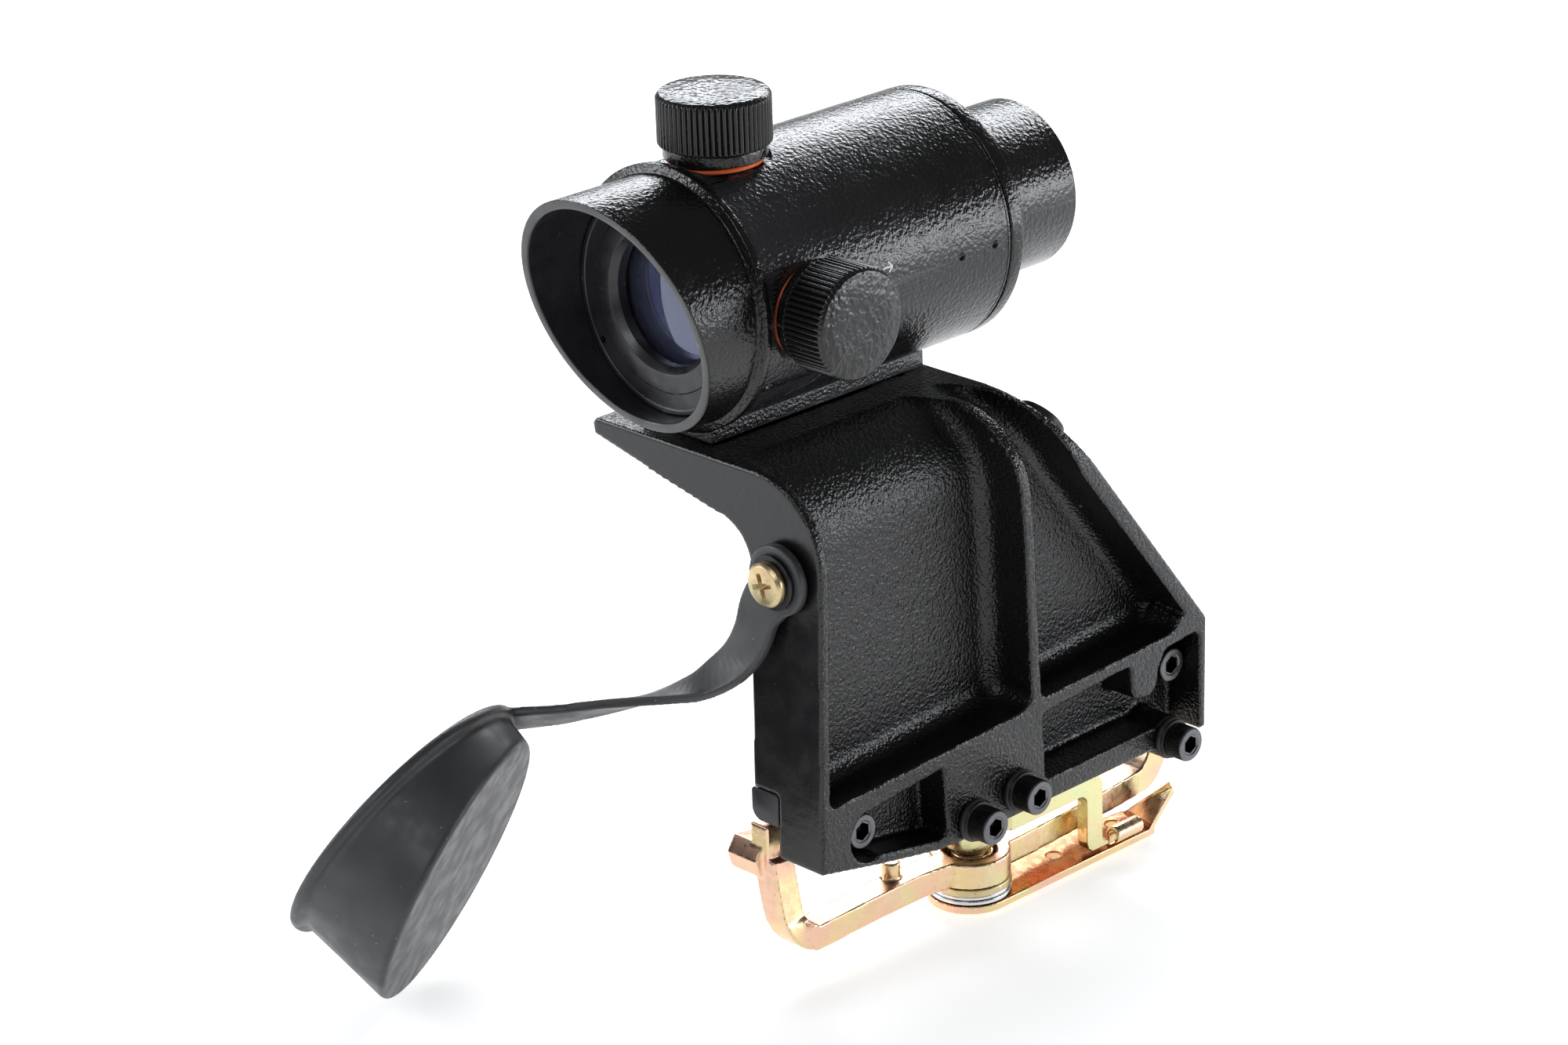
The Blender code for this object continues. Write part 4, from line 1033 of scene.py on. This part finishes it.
def cup_point(radius, angle, height):
    """A point of the cap from its own axis, the strap's side being at angle zero."""
    flat = CUP_SIDE * math.cos(angle) + CUP_ACROSS * math.sin(angle)
    return CUP_CENTRE + flat * radius + CUP_AXIS * height


def cup_rows(steps):
    """Rings of the cap from the inside of its mouth, over the bead and the wall, to the sloping end."""
    inner = CUP_RADIUS - CUP_WALL
    mouth = [(inner, 0.8), (inner + 0.5, 0.1), (inner + 1.4, 0.0), (CUP_BEAD - 0.8, 0.0),
             (CUP_BEAD - 0.1, 0.5), (CUP_BEAD, 1.3), (CUP_BEAD - 0.2, 2.2), (CUP_BEAD - 1.2, 2.8),
             (CUP_RADIUS + 0.3, 3.1), (CUP_RADIUS, 3.7), (CUP_RADIUS - 0.1, 6.0)]
    rows = [[cup_point(r, a, h) for a in angles(steps)] for r, h in mouth]

    def closed(radius, inset):
        return [cup_point(radius, a, CUP_HEIGHT - CUP_SLOPE * math.cos(a) * radius / CUP_RADIUS - inset)
                for a in angles(steps)]

    outside = ((CUP_RADIUS - 0.5, 1.3), (CUP_RADIUS - 0.8, 0.45), (CUP_RADIUS - 1.6, 0.0),
               (CUP_RADIUS - 4.0, 0.0), (20.0, 0.0), (8.0, 0.0))
    inside = ((20.0, CUP_WALL), (inner - 1.5, CUP_WALL), (inner - 0.2, CUP_WALL + 1.2))
    rows += [closed(*ring) for ring in outside] + [[cup_point(0, 0, CUP_HEIGHT)]]
    return rows + [[cup_point(0, 0, CUP_HEIGHT - CUP_WALL)]] + [closed(*ring) for ring in inside]


def strap_rows():
    """Rounded rectangles along the strap, which hangs from its eyelet, swings out and twists on edge."""
    middle = -STRAP_FACE - STRAP_THICK / 2
    join = cup_point(CUP_RADIUS + 0.6, 0.0, 1.4)
    route = smooth_stations([
        (38.0, middle, -57.5), (34.0, -23.1, -62.5), (31.5, -23.9, -70.0), (27.2, -25.4, -76.7),
        (20.0, -28.0, -82.7), (13.0, -30.8, -86.4), (6.0, -34.1, -89.3), (-1.0, -37.6, -91.7),
        (-7.5, -41.0, -93.8), (-13.5, -44.2, -95.6), tuple(join),
    ], 5)
    route = [Vector(point) for point in route]
    last = len(route) - 1
    rows = []
    for i, point in enumerate(route):
        share = i / last
        along = (route[min(i + 1, last)] - route[max(i - 1, 0)]).normalized()
        wide = Vector((1.0, 0.0, -0.5)).lerp(CUP_ACROSS, min(1.0, share * 1.25))
        wide = (wide - along * wide.dot(along)).normalized()
        thick = along.cross(wide).normalized()
        half_wide = 6.2 - 2.4 * share + 3.0 * max(0.0, share - 0.82) / 0.18
        half_thick = STRAP_THICK / 2 - 0.15 * share
        section = rounded([(-half_wide, -half_thick), (half_wide, -half_thick), (half_wide, half_thick),
                           (-half_wide, half_thick)], 0.5)
        rows.append([point + wide * a + thick * b for a, b in section])
    return rows


def make_cap_strap():
    eyelet = rounded([(2.8, STRAP_FACE), (8.3, STRAP_FACE), (8.3, STRAP_FACE + STRAP_THICK),
                      (2.8, STRAP_FACE + STRAP_THICK)], 0.5)
    shape = solid(
        grid_solid(cup_rows(128)), ("UNION", grid_solid(strap_rows(), closed=False)),
        ("UNION", turned(eyelet, -Y, STRAP_SCREW, 96)),
        ("DIFFERENCE", cylinder(2.8, 15, 30, -Y, STRAP_SCREW)), voxel=0.42, smooth=3,
    )
    piece("rubber_cap", shape, "front_cap", "rubber", CAP_RUBBER, ["front_cap_strap"], sharp=60)


# ---- battery side and hidden parts

def make_battery_side():
    centre = (0, 31, 0)
    housing = solid(
        turned(rounded([(0, -24.0), (9.6, -24.0), (9.0, -31.0), (9.0, -33.0), (7.4, -33.0), (7.4, -38.6),
                        (6.1, -38.6), (6.1, -31.0), (0, -31.0)], 0.3), X, centre, 96),
        ("DIFFERENCE", cylinder(TUBE_RADIUS - 0.2, 10, 50, Y, (0, 0, 0), 192)),
    )
    piece("battery_barrel", housing, "sight", "black_paint", TUBE_PAINT, ["battery_housing"])
    ring = [(7.7, -33.3), (8.7, -33.3)] + [(9.0, -33.6 - 0.3 * i) for i in range(8)]
    ring += [(8.7, -36.0), (7.7, -36.0)]
    piece("brightness_dial", turned(ring, X, centre, 288, ridges=knurl(36, 9.0, 0.4)),
          "brightness_dial", "black_oxide", OXIDE, ["brightness_ring"], sharp=60)
    cap = [(7.7, -36.3), (8.8, -36.3)] + [(9.0, -36.6 - 0.4 * i) for i in range(8)]
    cap += [(8.7, -40.0), (8.3, -40.3), (0, -40.3), (0, -38.9), (7.7, -38.9)]
    slot = extruded([(-41.5, -0.7), (-39.7, -0.7), (-39.7, 0.7), (-41.5, 0.7)], "xz", 25.0, 37.0)
    knurled = turned(cap, X, centre, 320, ridges=knurl(40, 9.0, 0.35))
    piece("battery_lid", solid(knurled, ("DIFFERENCE", slot)), "battery_lid", "black_paint", TURRET_SIDE,
          ["battery_cap"], sharp=60)


def finish_kept_nodes():
    """CAD nodes whose own shape is shown get procedural materials."""
    kept = {
        "foot_screw_1": OXIDE, "foot_screw_2": OXIDE, "carrier_spring": SPRING, "battery_spring": SPRING,
        "battery": WHITE_ZINC, "gimbal_ring": INNER_SATIN, "emitter_holder": INNER_SATIN,
        "emitter_led": LED_RED, "elevation_adjuster_screw": BRASS, "windage_adjuster_screw": BRASS,
        "circuit_board": BOARD,
    }
    for node, material in kept.items():
        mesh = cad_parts[node].data
        mesh.materials.clear()
        mesh.materials.append(material)


make_hood()
make_main_tube()
make_rear_cover()
make_front_optics()
make_rear_optics()
make_carrier()
make_turret("elevation", Z, -0.07 * X)
make_turret("windage", X, -0.09 * Z)
make_marks()
make_tube_foot()
make_bracket()
make_foot_bar()
make_socket_screws()
make_gold_screws()
make_pivot()
make_latch()
make_clamp_arm()
make_lever()
make_cap_strap()
make_battery_side()
finish_kept_nodes()
